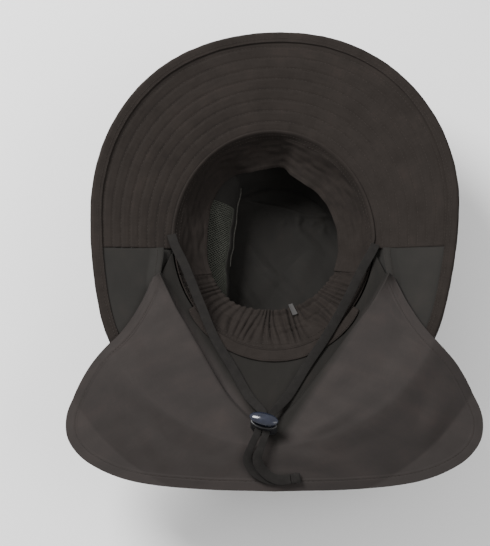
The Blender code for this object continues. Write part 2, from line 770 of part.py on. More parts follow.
def build_strap(collection, cutters, tape, frame):
    """The two halves of the chin strap, sewn together at the tail's end."""
    outline = bpy.data.curves.new("strap_section", "CURVE")
    outline.dimensions = "2D"
    section = outline.splines.new("POLY")
    section.points.add(3)
    section.use_cyclic_u = True
    half_width, half_thickness = STRAP_WIDTH / 2, STRAP_THICKNESS / 2
    corners = ((-1, 1), (1, 1), (1, -1), (-1, -1))
    for point, (x, y) in zip(section.points, corners):
        point.co = (x * half_width, y * half_thickness, 0.0, 1.0)
    profile = linked("strap_profile", outline, cutters, None)
    profile.hide_render = True
    profile.display_type = "WIRE"
    halves = (
        ("chin_strap_left", LEFT_ROUTE, LEFT_TAIL, -1),
        ("chin_strap_right", RIGHT_ROUTE, RIGHT_TAIL, 1),
    )
    for name, route, tail, side in halves:
        curve = bpy.data.curves.new(name, "CURVE")
        curve.dimensions = "3D"
        curve.twist_mode = "Z_UP"
        curve.bevel_mode = "OBJECT"
        curve.bevel_object = profile
        curve.use_fill_caps = True
        spline = curve.splines.new("POLY")
        line = strap_points(route, tail, frame, side)
        spline.points.add(len(line) - 1)
        for point, (place, width) in zip(spline.points, line):
            point.co = (*place, 1.0)
            point.radius = width
        linked(name, curve, collection, tape)

    end_x, end_y, end_lift = RIGHT_TAIL[-1]
    start = Vector((end_x + GAP, end_y, 0.0))
    thickness = 2 * STRAP_THICKNESS + 2 * GAP
    middle = (LEFT_TAIL[-1][2] + end_lift) / 2

    def make_end(shape):
        bmesh.ops.create_cube(shape, size=1.0)
        bmesh.ops.scale(shape, vec=(STRAP_END_LENGTH, STRAP_WIDTH, thickness), verts=shape.verts)
        bmesh.ops.translate(shape, vec=(STRAP_END_LENGTH / 2, 0, 0), verts=shape.verts)

    end = primitive("strap_end", collection, tape, make_end)
    before = Vector(RIGHT_TAIL[-2][:2])
    heading = (start.xy - before).normalized()
    start.z = cover_height(end_x, end_y) + middle
    end.location = start
    end.rotation_euler = (0.0, 0.0, math.atan2(heading.y, heading.x))
    soften = end.modifiers.new("Soft edges", "BEVEL")
    soften.width = thickness / 4
    soften.segments = 2


def build():
    clear_scene()
    hat = bpy.data.collections.new("flap_sun_hat")
    cutters = bpy.data.collections.new("cutters")
    for collection in (hat, cutters):
        bpy.context.scene.collection.children.link(collection)
    stitched = material("brim_cloth", (0.036, 0.031, 0.028), 0.85)
    smooth_cloth = material("smooth_cloth", (0.038, 0.036, 0.033), 0.75)
    net = material("vent_net", (0.045, 0.047, 0.040), 0.7)
    tape = material("strap_tape", (0.045, 0.042, 0.038), 0.8)
    tab_cloth = material("tab_cloth", (0.16, 0.15, 0.15), 0.8)
    body_plastic = material("lock_body", (0.012, 0.012, 0.013), 0.4)
    head_plastic = material("lock_head", (0.016, 0.018, 0.028), 0.25)
    build_crown(hat, smooth_cloth, net)
    build_brim(hat, stitched, smooth_cloth, stitched)
    build_sweatband(hat, stitched, tab_cloth)
    build_flap(hat, smooth_cloth, stitched)
    frame = build_lock(hat, cutters, body_plastic, head_plastic)
    build_strap(hat, cutters, tape, frame)


build()
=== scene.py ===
"""Looks of the sun hat with a neck flap: cloth, stitching, net, tapes and cord lock.

Metres, +Z up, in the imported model's own frame. The front of the hat points to +Y.
"""
import math

import bmesh
import bpy
from mathutils import Matrix, Vector, noise
from mathutils.kdtree import KDTree


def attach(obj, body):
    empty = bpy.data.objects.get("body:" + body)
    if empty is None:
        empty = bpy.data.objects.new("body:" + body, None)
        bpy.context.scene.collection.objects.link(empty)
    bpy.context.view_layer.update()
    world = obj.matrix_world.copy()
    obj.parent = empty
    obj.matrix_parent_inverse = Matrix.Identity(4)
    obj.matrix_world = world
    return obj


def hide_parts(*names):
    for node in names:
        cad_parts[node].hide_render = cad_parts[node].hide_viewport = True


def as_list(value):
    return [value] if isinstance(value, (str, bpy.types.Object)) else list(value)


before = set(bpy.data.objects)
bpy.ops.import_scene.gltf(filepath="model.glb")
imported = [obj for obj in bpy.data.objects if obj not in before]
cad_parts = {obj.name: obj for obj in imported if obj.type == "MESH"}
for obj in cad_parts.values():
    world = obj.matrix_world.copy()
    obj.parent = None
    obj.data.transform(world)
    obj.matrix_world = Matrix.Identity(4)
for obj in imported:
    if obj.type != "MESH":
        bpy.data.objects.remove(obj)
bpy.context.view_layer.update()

HAT = "hat"
PLUNGER = "lock_plunger"

# Head line, crown and brim, as in the part's source, but for VENT_LOW and SIDE_FOLD
HEAD_HALF_WIDTH = 0.088
HEAD_HALF_LENGTH = 0.101
CROWN_HEIGHT = 0.092
CROWN_WALL = 0.0014
TIP_HALF_WIDTH = 0.067
TIP_HALF_LENGTH = 0.077
TIP_SHIFT = 0.005
TIP_CORNER = 0.009
TIP_FLAT = 0.6
CROWN_BULGE = 0.004
VENT_LEFT_DEG = 180.0
VENT_RIGHT_DEG = -22.0
VENT_HALF_DEG = 31.0
VENT_LOW = 0.036
VENT_HIGH = 0.070
BRIM_WIDTH = 0.0885
BRIM_RISE = 0.024
BRIM_DISH = 0.12
BRIM_SKEW = 0.0025
BRIM_WAVE = 0.0022
BRIM_THICKNESS = 0.0023
BRIM_START = 0.0010
REAR_PLY = 0.001
FRONT_START_DEG = -5.0
FRONT_END_DEG = 185.0
LIP_SETBACK = 0.019
LIP_START_SETBACK = 0.009
LIP_HEIGHT = 0.0045
LIP_WIDTH = 0.012
BINDING_LEG = 0.009
BINDING_WALL = 0.001
BAND_WIDTH = 0.040
BAND_THICKNESS = 0.0012
BAND_BULGE = 0.003
BAND_FRONT_START_DEG = -17.0
BAND_FRONT_END_DEG = 199.0
GATHER_DEPTH = 0.0011
TAB_WIDTH = 0.008
TAB_LENGTH = 0.010
TAB_DEG = 291.0

# Neck flap, as in the part's source, but for the ends of the seam tape
FLAP_THICKNESS = 0.0011
FLAP_CLEARANCE = 0.0006
FLAP_HALF_WIDTH = 0.1755
FLAP_REACH = 0.222
FLAP_FOLD_HEIGHT = 0.0135
FLAP_FOLD_RUN = 0.0035
FLAP_DROOP = 0.010
FOLD_FOOT = 4 / 12
FOLD_TOP = 6 / 12
HEM_WIDTH = 0.009
HEM_WAVE = 0.0015
SEAM_TAPE_START_DEG = 218
SEAM_TAPE_END_DEG = 322
SEAM_TAPE_WIDTH = 0.011
SEAM_ROLL_SHARE = 0.06
SEAM_ROLL_OUT = 0.0026
SEAM_ROLL_RISE = 0.0011
PIPING_RADIUS = 0.0006
PIPING_START_DEG = 122
PIPING_END_DEG = 184
# Band of the flap painted darker as the shade in its valley: half width at y = 0, narrowing by the slope as y
# falls towards the hem, and a soft border
VALLEY_HALF_WIDTH = 0.1222
VALLEY_SLOPE = 0.648
VALLEY_BORDER = 0.004

# Chin strap and cord lock, as in the part's source
STRAP_WIDTH = 0.008
STRAP_THICKNESS = 0.001
STRAP_PINCH = 0.75
STRAP_STEP = 0.002
LOCK_X = -0.0095
LOCK_Y = -0.1725
LOCK_TURN_DEG = -15.0
LOCK_SEAT = 0.0036
LOCK_HALF_LENGTH = 0.0112
LOCK_HALF_WIDTH = 0.0052
LOCK_HEIGHT = 0.0110
LOCK_WALL = 0.0018
LOCK_TRAVEL = 0.0025
LOCK_HEAD_HALF_LENGTH = 0.0120
LOCK_HEAD_HALF_WIDTH = 0.0056
LOCK_HEAD_HALF_HEIGHT = 0.0034
LOCK_SLOT_HEIGHT = 0.0045
LOCK_SLOT_FLOOR = 0.0030
STRAP_END_LENGTH = 0.008
GAP = 0.0003
RUN_GAP = 0.0004
MERGE = 1e-6

# Brim width by the angle from the side seam, -90 at the back and 90 at the front, as a share of BRIM_WIDTH
BRIM_OUTLINE = (
    # degrees, width
    (-90, 0.97),
    (-60, 0.93),
    (-35, 0.845),
    (-15, 0.775),
    (0, 0.785),
    (15, 0.85),
    (36, 0.935),
    (60, 0.99),
    (90, 0.985),
)

# How far the sweatband's free edge leans in, as a share of BAND_WIDTH
BAND_LEAN = (
    # degrees round the head line, inset
    (0, 0.70),
    (22, 0.66),
    (44, 0.70),
    (58, 0.76),
    (72, 0.66),
    (80, 0.50),
    (92, 0.55),
    (108, 0.56),
    (120, 0.42),
    (134, 0.40),
    (150, 0.55),
    (170, 0.70),
    (198, 0.72),
    (225, 0.80),
    (250, 0.93),
    (270, 0.96),
    (300, 0.93),
    (325, 0.84),
    (345, 0.72),
    (360, 0.70),
)

# Places where the soft crown wall has sunk in. Depth is a share of the crown's height
CROWN_DENTS = (
    # degrees, height share, depth, half span in degrees, span above, span below
    (-24, 0.50, 0.22, 24, 0.36, 0.34),
    (232, 0.46, 0.13, 20, 0.30, 0.30),
    (118, 0.36, 0.05, 17, 0.24, 0.30),
    (58, 0.44, 0.08, 20, 0.34, 0.30),
    (300, 0.40, 0.07, 16, 0.34, 0.30),
)

# Crest of the long fold where the crown wall has sunk in on the left, from back to front.
# y is a share of HEAD_HALF_LENGTH and x of HEAD_HALF_WIDTH
SIDE_FOLD = (
    # y, x
    (-0.75, -0.68),
    (-0.55, -0.52),
    (-0.34, -0.455),
    (-0.09, -0.455),
    (0.10, -0.43),
    (0.39, -0.385),
    (0.58, -0.355),
    (0.82, -0.305),
)
SIDE_FOLD_SHARE = 2 / 9
SIDE_FOLD_ABOVE = 0.50
SIDE_FOLD_BELOW = 1 / 9

# Seam between the crown's wall and tip where it shows in front, from left to right, in metres
TIP_SEAM = (
    # x, y
    (-0.045, 0.0690),
    (-0.028, 0.0670),
    (0.013, 0.0590),
    (0.031, 0.0530),
    (0.063, 0.0500),
    (0.080, 0.0490),
)
TIP_SEAM_HEIGHT = 0.0016
TIP_SEAM_HALF_WIDTH = 0.0022

# Soft creases of the crown's tip, in metres
TIP_CREASES = (
    # start x, start y, end x, end y, half width, height
    (-0.030, 0.032, 0.012, -0.022, 0.0035, 0.0018),
    (-0.010, 0.006, 0.040, -0.046, 0.0040, 0.0016),
    (0.012, 0.050, 0.052, 0.008, 0.0040, 0.0020),
    (-0.036, -0.008, -0.004, -0.052, 0.0035, 0.0017),
)

# The flap from its side to its middle. x is a share of FLAP_HALF_WIDTH, y of FLAP_REACH,
# and fold of FLAP_FOLD_HEIGHT
FLAP_SPOKES = (
    # share, seam degrees from the side, fold x, fold y, fold height, hem x, hem y
    (0.00, 7, 0.560, 0.165, 0.90, 0.590, 0.172),
    (0.10, 12, 0.520, 0.228, 1.00, 0.652, 0.290),
    (0.22, 19, 0.470, 0.300, 1.05, 0.740, 0.410),
    (0.34, 27, 0.408, 0.373, 1.02, 0.870, 0.520),
    (0.44, 34, 0.352, 0.440, 0.94, 0.952, 0.628),
    (0.52, 40, 0.306, 0.495, 0.84, 0.992, 0.720),
    (0.60, 47, 0.262, 0.548, 0.70, 0.972, 0.812),
    (0.68, 55, 0.222, 0.596, 0.55, 0.872, 0.893),
    (0.78, 65, 0.168, 0.655, 0.38, 0.668, 0.958),
    (0.90, 78, 0.085, 0.725, 0.20, 0.340, 0.990),
    (1.00, 90, 0.000, 0.770, 0.12, 0.000, 1.000),
)

# Soft creases of the flap. x is a share of FLAP_HALF_WIDTH, y of FLAP_REACH
FLAP_CREASES = (
    # start x, start y, end x, end y, half width in metres, height in metres
    (0.02, -0.845, 0.56, -0.575, 0.0060, 0.0026),
    (0.05, -0.815, 0.50, -0.685, 0.0050, 0.0020),
    (0.18, -0.640, 0.40, -0.515, 0.0045, 0.0022),
    (0.00, -0.870, 0.34, -0.905, 0.0050, 0.0016),
    (-0.10, -0.860, -0.40, -0.940, 0.0060, 0.0012),
    (-0.20, -0.830, -0.72, -0.600, 0.0070, 0.0016),
    (-0.66, -0.690, -0.46, -0.985, 0.0055, 0.0020),
    (-0.80, -0.430, -0.74, -0.860, 0.0060, 0.0018),
    (0.66, -0.860, 0.84, -0.600, 0.0070, 0.0016),
    (0.62, -0.420, 0.60, -0.760, 0.0080, 0.0012),
)

# Chin strap routes from the head line to the cord lock, and the tails beyond it.
# x, y, and the height above the flap where the strap lies, in metres
LEFT_ROUTE = (
    (-0.0890, 0.0030, 0.0018),
    (-0.0855, -0.0080, 0.0038),
    (-0.0765, -0.0270, 0.0040),
    (-0.0640, -0.0580, 0.0032),
    (-0.0510, -0.0900, 0.0044),
    (-0.0350, -0.1180, 0.0026),
    (-0.0215, -0.1430, 0.0030),
)
RIGHT_ROUTE = (
    (0.0890, -0.0060, 0.0018),
    (0.0845, -0.0150, 0.0038),
    (0.0755, -0.0310, 0.0040),
    (0.0610, -0.0600, 0.0032),
    (0.0445, -0.0890, 0.0050),
    (0.0270, -0.1160, 0.0036),
    (0.0115, -0.1420, 0.0030),
)
LEFT_TAIL = (
    (-0.0205, -0.1890, 0.0066),
    (-0.0228, -0.1975, 0.0054),
    (-0.0180, -0.2060, 0.0050),
    (-0.0080, -0.2120, 0.0049),
    (0.0030, -0.2135, 0.0049),
    (0.0120, -0.2125, 0.0049),
)
RIGHT_TAIL = (
    (-0.0122, -0.1895, 0.0092),
    (-0.0148, -0.1965, 0.0080),
    (-0.0120, -0.2040, 0.0070),
    (-0.0050, -0.2105, 0.0064),
    (0.0035, -0.2135, 0.0063),
    (0.0120, -0.2125, 0.0063),
)

# Stitching
STITCH_PITCH = 0.0031
STITCH_FILL = 0.68
STITCH_WIDTH = 0.00044
STITCH_LIFT = 0.00012
QUILT_ROWS = 8
QUILT_FIRST = 0.105
QUILT_LAST = 0.865
QUILT_DEPTH = 0.00045
QUILT_HALF_WIDTH = 0.0011

# Camera and photograph
CAMERA_TARGET = Vector((-0.0248, -0.0306, 0.092))
CAMERA_ELEVATION = 74.0
CAMERA_DISTANCE = 1.15
CAMERA_LENS = 87.15
SENSOR = 36.0


def table_value(rows, at, column):
    """A column of a table, read smoothly between the rows, whose first column rises."""
    last = len(rows) - 1
    index = 0
    while index < last - 1 and at > rows[index + 1][0]:
        index += 1
    before = rows[max(index - 1, 0)]
    low = rows[index]
    high = rows[index + 1]
    after = rows[min(index + 2, last)]
    span = high[0] - low[0]
    share = min(max((at - low[0]) / span, 0.0), 1.0)
    low_slope = (high[column] - before[column]) / max(high[0] - before[0], MERGE) * span
    high_slope = (after[column] - low[column]) / max(after[0] - low[0], MERGE) * span
    square = share * share
    cube = square * share
    return (
        low[column] * (2 * cube - 3 * square + 1)
        + low_slope * (cube - 2 * square + share)
        + high[column] * (3 * square - 2 * cube)
        + high_slope * (cube - square)
    )


def hump(distance):
    """1 at zero, falling smoothly to 0 at 1 and beyond."""
    inside = max(1.0 - distance * distance, 0.0)
    return inside * inside


def between(start, end, share):
    return start + (end - start) * share


def smooth_step(low, high, at):
    share = min(max((at - low) / (high - low), 0.0), 1.0)
    return share * share * (3 - 2 * share)


def rough(x, y, z, size):
    """Smooth noise from -1 to 1 whose bumps are about size metres wide."""
    return noise.noise(Vector((x, y, z)) / size)


def head_point(theta):
    return Vector((HEAD_HALF_WIDTH * math.cos(theta), HEAD_HALF_LENGTH * math.sin(theta), 0.0))


def head_normal(theta):
    slope = Vector((math.cos(theta) / HEAD_HALF_WIDTH, math.sin(theta) / HEAD_HALF_LENGTH, 0.0))
    return slope.normalized()


def head_place(x, y):
    """The head-line angle nearest to a place, and the distance outward from the head line."""
    a, b = HEAD_HALF_WIDTH, HEAD_HALF_LENGTH
    theta = math.atan2(y / b, x / a)
    for _ in range(8):
        sine, cosine = math.sin(theta), math.cos(theta)
        error = (a * a - b * b) * sine * cosine - x * a * sine + y * b * cosine
        slope = (a * a - b * b) * (cosine * cosine - sine * sine) - x * a * cosine - y * b * sine
        theta -= error / slope
    distance = (Vector((x, y, 0.0)) - head_point(theta)).dot(head_normal(theta))
    return theta, distance


def brim_reach(theta):
    """Level distance from the head line to the brim's outer edge."""
    side_angle = math.degrees(math.asin(max(-1.0, min(1.0, math.sin(theta)))))
    return BRIM_WIDTH * table_value(BRIM_OUTLINE, side_angle, 1) + BRIM_SKEW * math.sin(2 * theta)


def brim_rise(theta, share):
    wave = BRIM_WAVE * (math.sin(3 * theta + 0.6) + 0.5 * math.sin(5 * theta + 2.0))
    return (BRIM_RISE + wave * share) * (share + BRIM_DISH * share * (1.0 - share))


def brim_point(theta, out, lift=0.0):
    """A place on the brim's middle surface, out from the head line, raised square to the brim."""
    reach = brim_reach(theta)
    share = out / reach
    slope = math.atan2(BRIM_RISE, reach)
    level = out - lift * math.sin(slope)
    height = CROWN_HEIGHT + brim_rise(theta, share) + lift * math.cos(slope)
    point = head_point(theta) + head_normal(theta) * level
    return Vector((point.x, point.y, height))


def flap_lift():
    """Height of the flap's middle above the brim's middle, clear of the rear ply under it."""
    return BRIM_THICKNESS / 2 + GAP + FLAP_THICKNESS / 2 + FLAP_CLEARANCE


def cover_height(x, y):
    """Height of the flap's middle where it lies on the brim, or droops past the brim's edge."""
    theta, out = head_place(x, y)
    reach = brim_reach(theta)
    share = min(max(out, 0.0), reach) / reach
    past = max(out - reach, 0.0)
    over_binding = hump(max(reach - BINDING_LEG - out, past) / (2 * BINDING_LEG)) * (BINDING_WALL + 2 * GAP)
    droop = FLAP_DROOP * (past / (FLAP_REACH - HEAD_HALF_LENGTH - BRIM_WIDTH * BRIM_OUTLINE[0][1])) ** 1.4
    return CROWN_HEIGHT + brim_rise(theta, share) + flap_lift() + over_binding - min(droop, 1.6 * FLAP_DROOP)


def crease(place, start, end, half_width, rise):
    """Height that one soft crease from start to end adds at a place."""
    along = end - start
    offset = place - start
    share = offset.dot(along) / along.length_squared
    away = (offset - along * share).length / (2 * half_width)
    return rise * hump(away) * hump(2 * share - 1)


def crease_height(x, y):
    """Height that the soft creases add at a place on the flap."""
    height = 0.0
    for x0, y0, x1, y1, half_width, rise in FLAP_CREASES:
        start = Vector((x0 * FLAP_HALF_WIDTH, y0 * FLAP_REACH))
        end = Vector((x1 * FLAP_HALF_WIDTH, y1 * FLAP_REACH))
        height += crease(Vector((x, y)), start, end, half_width, rise)
    return height


SPOKES = {}


def flap_spoke(u):
    """The flap's line from the head line over its fold to the hem: seam, foot, ridge, hem and fold height."""
    if u not in SPOKES:
        side = -1.0 if u < 0.5 else 1.0
        share = 1.0 - abs(2 * u - 1)
        seam_deg, fold_x, fold_y, fold, hem_x, hem_y = (
            table_value(FLAP_SPOKES, share, column) for column in range(1, 7)
        )
        theta = math.radians(270 + side * (90 - seam_deg))
        seam = head_point(theta) + head_normal(theta) * (BAND_THICKNESS / 2)
        middle = hump(1.0 - share)
        ridge = Vector((side * fold_x * FLAP_HALF_WIDTH + LOCK_X * middle, -fold_y * FLAP_REACH, 0.0))
        hem = Vector((side * hem_x * FLAP_HALF_WIDTH, -hem_y * FLAP_REACH, 0.0))
        foot = ridge + (seam - ridge).normalized() * FLAP_FOLD_RUN
        SPOKES[u] = (seam, foot, ridge, hem, fold * FLAP_FOLD_HEIGHT)
    return SPOKES[u]


def flap_point(u, v):
    """The flap's middle surface: u runs from the left side to the right, v from the head line to the hem."""
    seam, foot, ridge, hem, fold = flap_spoke(u)
    if v <= FOLD_FOOT:
        place = seam.lerp(foot, v / FOLD_FOOT)
        rise = 0.0
    elif v <= FOLD_TOP:
        step = (v - FOLD_FOOT) / (FOLD_TOP - FOLD_FOOT)
        place = foot.lerp(ridge, step)
        rise = fold * step
    else:
        step = (v - FOLD_TOP) / (1.0 - FOLD_TOP)
        place = ridge.lerp(hem, step)
        rise = fold * (1.0 - step) ** 1.3
        rise += HEM_WAVE * step * step * (1.0 + math.sin(13 * u + 2.0))
        rise += crease_height(place.x, place.y) * min(4 * step, 1.0)
    return Vector((place.x, place.y, cover_height(place.x, place.y) + rise))


def crown_ring(theta, share):
    """A place on the crown's middle surface; share is 0 at the tip's corner and 1 at the head line."""
    tip = Vector((TIP_SHIFT + TIP_HALF_WIDTH * math.cos(theta), TIP_HALF_LENGTH * math.sin(theta), 0.0))
    top = head_point(theta) + head_normal(theta) * (CROWN_WALL / 2 + GAP)
    outward = head_normal(theta)
    swell = CROWN_BULGE * math.sin(math.pi * share)
    for degrees, at, depth, half_span, above, below in CROWN_DENTS:
        turn = (math.degrees(theta) - degrees + 180) % 360 - 180
        height = (share - at) / (above if share > at else below)
        swell -= depth * CROWN_HEIGHT * hump(turn / (1.3 * half_span)) * hump(height) ** 0.75
    point = tip.lerp(top, share) + outward * swell
    if point.x < 0:
        away = share - SIDE_FOLD_SHARE
        pull = hump(away / (SIDE_FOLD_ABOVE if away > 0 else SIDE_FOLD_BELOW)) ** 0.8
        crest = HEAD_HALF_WIDTH * table_value(SIDE_FOLD, point.y / HEAD_HALF_LENGTH, 1)
        point.x += max(crest - point.x, 0.0) * pull
    low = TIP_CORNER + GAP / 2
    high = CROWN_HEIGHT - BRIM_THICKNESS / 2 - GAP
    return Vector((point.x, point.y, low + (high - low) * share))


def wall_share(height):
    """The share up the crown wall at a height above the surface it rests on."""
    return (height - TIP_CORNER) / (CROWN_HEIGHT - TIP_CORNER)


def tip_point(theta, share):
    """The tip: flat inside, its rim turning up to the wall. share is 0 at the middle, 1 at the rim."""
    flat = Vector((TIP_HALF_WIDTH - TIP_CORNER, TIP_HALF_LENGTH - TIP_CORNER))
    if share <= TIP_FLAT:
        reach = share / TIP_FLAT
        x, y = flat.x * reach * math.cos(theta), flat.y * reach * math.sin(theta)
        return Vector((TIP_SHIFT + x, y, CROWN_WALL / 2))
    turn = (share - TIP_FLAT) / (1 - TIP_FLAT) * math.pi / 2
    out = math.sin(turn) * TIP_CORNER
    rise = (1 - math.cos(turn)) * (TIP_CORNER - CROWN_WALL / 2 - GAP / 2)
    x = (flat.x + out) * math.cos(theta)
    y = (flat.y + out) * math.sin(theta)
    return Vector((TIP_SHIFT + x, y, CROWN_WALL / 2 + rise))


def band_point(theta, share, lift=0.0):
    """The sweatband's middle surface. share is 0 at the head line, 1 at the free edge; lift is inward."""
    degrees = math.degrees(theta) % 360
    inset = BAND_WIDTH * table_value(BAND_LEAN, degrees, 1)
    drop = math.sqrt(BAND_WIDTH**2 - inset**2)
    inward = -head_normal(theta)
    bend = math.sin(math.pi * share)
    square = Vector((inward.x * drop, inward.y * drop, inset)) / BAND_WIDTH
    top = head_point(theta) + inward * (BAND_THICKNESS / 2 + GAP)
    top.z = CROWN_HEIGHT + BRIM_THICKNESS / 2
    along = inward * inset - Vector((0.0, 0.0, drop))
    return top + along * share + square * (lift - BAND_BULGE * bend)


class Nodes:
    """Short helpers for one material's node tree."""

    def __init__(self, name):
        self.material = bpy.data.materials.new(name)
        self.material.use_nodes = True
        self.tree = self.material.node_tree
        self.shader = self.tree.nodes["Principled BSDF"]

    def add(self, kind, **settings):
        node = self.tree.nodes.new(kind)
        for key, value in settings.items():
            setattr(node, key, value)
        return node

    def link(self, source, target):
        self.tree.links.new(source, target)

    def maths(self, operation, first, second=None):
        node = self.add("ShaderNodeMath", operation=operation)
        for socket, value in zip(node.inputs, (first, second)):
            if value is None:
                continue
            if isinstance(value, (int, float)):
                socket.default_value = value
            else:
                self.link(value, socket)
        return node.outputs[0]

    def noise(self, coordinates, scale, detail=3.0, roughness=0.55, stretch=None):
        """Noise from 0 to 1 whose scale counts bumps for each metre of cloth."""
        mapping = self.add("ShaderNodeMapping")
        mapping.inputs["Scale"].default_value = stretch or (1.0, 1.0, 1.0)
        self.link(coordinates, mapping.inputs["Vector"])
        texture = self.add("ShaderNodeTexNoise")
        texture.inputs["Scale"].default_value = scale
        texture.inputs["Detail"].default_value = detail
        texture.inputs["Roughness"].default_value = roughness
        self.link(mapping.outputs[0], texture.inputs["Vector"])
        return texture.outputs["Fac"]

    def ramp(self, value, stops):
        node = self.add("ShaderNodeValToRGB")
        ramp = node.color_ramp
        while len(ramp.elements) < len(stops):
            ramp.elements.new(0.5)
        for element, (at, colour) in zip(ramp.elements, stops):
            element.position = at
            element.color = (*colour, 1.0)
        self.link(value, node.inputs["Fac"])
        return node.outputs["Color"]

    def mix(self, factor, first, second):
        """The first colour where factor is 0 and the second where it is 1."""
        node = self.add("ShaderNodeMix", data_type="RGBA")
        self.link(factor, node.inputs[0])
        self.link(first, node.inputs[6])
        self.link(second, node.inputs[7])
        return node.outputs[2]


def shade(colour, factor):
    return tuple(channel * factor for channel in colour)


def tones(colour, contrast, warm):
    """Dark, plain and light tones of one cloth, for a colour ramp."""
    warmed = tuple(channel * factor for channel, factor in zip(colour, warm))
    return ((0.30, shade(colour, 1.0 - contrast)), (0.52, colour), (0.72, shade(warmed, 1.0 + contrast)))


def painted_valley_shade(made):
    """Mask for painted shade: 1 in the valley between the flap's two folds and 0 on its wings, with a soft
    border.
    """
    split = made.add("ShaderNodeSeparateXYZ")
    made.link(made.add("ShaderNodeTexCoord").outputs["Object"], split.inputs[0])
    half = made.maths("ADD", made.maths("MULTIPLY", split.outputs[1], VALLEY_SLOPE), VALLEY_HALF_WIDTH)
    inside = made.maths("SUBTRACT", half, made.maths("ABSOLUTE", split.outputs[0]))
    share = made.add("ShaderNodeMapRange")
    share.inputs["From Min"].default_value = -VALLEY_BORDER
    share.inputs["From Max"].default_value = VALLEY_BORDER
    made.link(inside, share.inputs["Value"])
    return share.outputs["Result"]


def cloth_material(
    name, colour, pitch, slub, contrast, roughness, sheen, bump, warm=(1.0, 1.0, 1.0), valley_shade=None,
):
    """Plain woven cloth: yarns at a pitch in metres, uneven slubs, soft mottling and a little sheen.

    The mottling leans from the colour towards the same colour times warm. The valley colour is a darker
    colour painted between the flap's folds as the shade there.
    """
    made = Nodes(name)
    coordinates = made.add("ShaderNodeTexCoord").outputs["UV"]
    split = made.add("ShaderNodeSeparateXYZ")
    made.link(coordinates, split.inputs[0])
    wobble = made.noise(coordinates, 90.0, 2.0)
    turn = math.pi / pitch
    waves = []
    for axis in (0, 1):
        shifted = made.maths("ADD", split.outputs[axis], made.maths("MULTIPLY", wobble, pitch * 3))
        waves.append(made.maths("SINE", made.maths("MULTIPLY", shifted, turn)))
    weave = made.maths("ADD", made.maths("MULTIPLY", made.maths("MULTIPLY", *waves), 0.5), 0.5)
    slub_across = made.noise(coordinates, 1100.0, 2.0, stretch=(0.08, 1.0, 1.0))
    slub_along = made.noise(coordinates, 1100.0, 2.0, stretch=(1.0, 0.08, 1.0))
    slubs = made.maths("MULTIPLY", made.maths("ADD", slub_across, slub_along), 0.5)
    mottle = made.noise(coordinates, 34.0, 4.0)
    tone = made.maths("ADD", made.maths("MULTIPLY", slubs, slub), made.maths("MULTIPLY", mottle, 1.0 - slub))
    tone = made.maths("ADD", made.maths("MULTIPLY", tone, 0.86), made.maths("MULTIPLY", weave, 0.14))
    face = made.ramp(tone, tones(colour, contrast, warm))
    # Between the flap's folds a darker colour is painted in as the valley's shade
    if valley_shade:
        face = made.mix(painted_valley_shade(made), face, made.ramp(tone, tones(valley_shade, contrast, warm)))
    made.link(face, made.shader.inputs["Base Color"])
    made.shader.inputs["Roughness"].default_value = roughness
    made.shader.inputs["Specular IOR Level"].default_value = 0.06
    made.shader.inputs["Sheen Weight"].default_value = sheen
    made.shader.inputs["Sheen Roughness"].default_value = 0.45
    height = made.maths("ADD", made.maths("MULTIPLY", weave, 0.6), made.maths("MULTIPLY", slubs, 0.9))
    relief = made.add("ShaderNodeBump")
    relief.inputs["Strength"].default_value = 0.75
    relief.inputs["Distance"].default_value = bump
    made.link(height, relief.inputs["Height"])
    made.link(relief.outputs[0], made.shader.inputs["Normal"])
    return made.material


def tape_material(name, colour):
    """Flat woven tape: a fine grain and soft mottling in its colour, with the fine grain as its bump."""
    made = Nodes(name)
    coordinates = made.add("ShaderNodeTexCoord").outputs["Object"]
    fine = made.noise(coordinates, 1500.0, 2.0)
    soft = made.noise(coordinates, 160.0, 3.0)
    tone = made.maths("ADD", made.maths("MULTIPLY", fine, 0.55), made.maths("MULTIPLY", soft, 0.45))
    stops = ((0.3, shade(colour, 0.72)), (0.52, colour), (0.72, shade(colour, 1.35)))
    made.link(made.ramp(tone, stops), made.shader.inputs["Base Color"])
    made.shader.inputs["Roughness"].default_value = 0.85
    made.shader.inputs["Specular IOR Level"].default_value = 0.08
    made.shader.inputs["Sheen Weight"].default_value = 0.03
    relief = made.add("ShaderNodeBump")
    relief.inputs["Strength"].default_value = 0.8
    relief.inputs["Distance"].default_value = 0.00025
    made.link(fine, relief.inputs["Height"])
    made.link(relief.outputs[0], made.shader.inputs["Normal"])
    return made.material


def plastic_material(name, colour, roughness, grain):
    """Moulded plastic with a faint unevenness and a few duller patches."""
    made = Nodes(name)
    coordinates = made.add("ShaderNodeTexCoord").outputs["Object"]
    patches = made.noise(coordinates, 220.0, 4.0)
    fine = made.noise(coordinates, 2600.0, 2.0)
    made.link(made.ramp(patches, ((0.35, shade(colour, 0.8)), (0.65, shade(colour, 1.25)))),
              made.shader.inputs["Base Color"])
    spread = made.maths("ADD", made.maths("MULTIPLY", patches, roughness * 0.6), roughness * 0.7)
    made.link(spread, made.shader.inputs["Roughness"])
    relief = made.add("ShaderNodeBump")
    relief.inputs["Strength"].default_value = grain
    relief.inputs["Distance"].default_value = 0.00008
    made.link(fine, relief.inputs["Height"])
    made.link(relief.outputs[0], made.shader.inputs["Normal"])
    return made.material


def thread_material(name, colour):
    made = Nodes(name)
    coordinates = made.add("ShaderNodeTexCoord").outputs["Object"]
    soft = made.noise(coordinates, 320.0, 3.0)
    made.link(made.ramp(soft, ((0.3, shade(colour, 0.7)), (0.7, shade(colour, 1.4)))),
              made.shader.inputs["Base Color"])
    made.shader.inputs["Roughness"].default_value = 0.7
    made.shader.inputs["Specular IOR Level"].default_value = 0.1
    return made.material


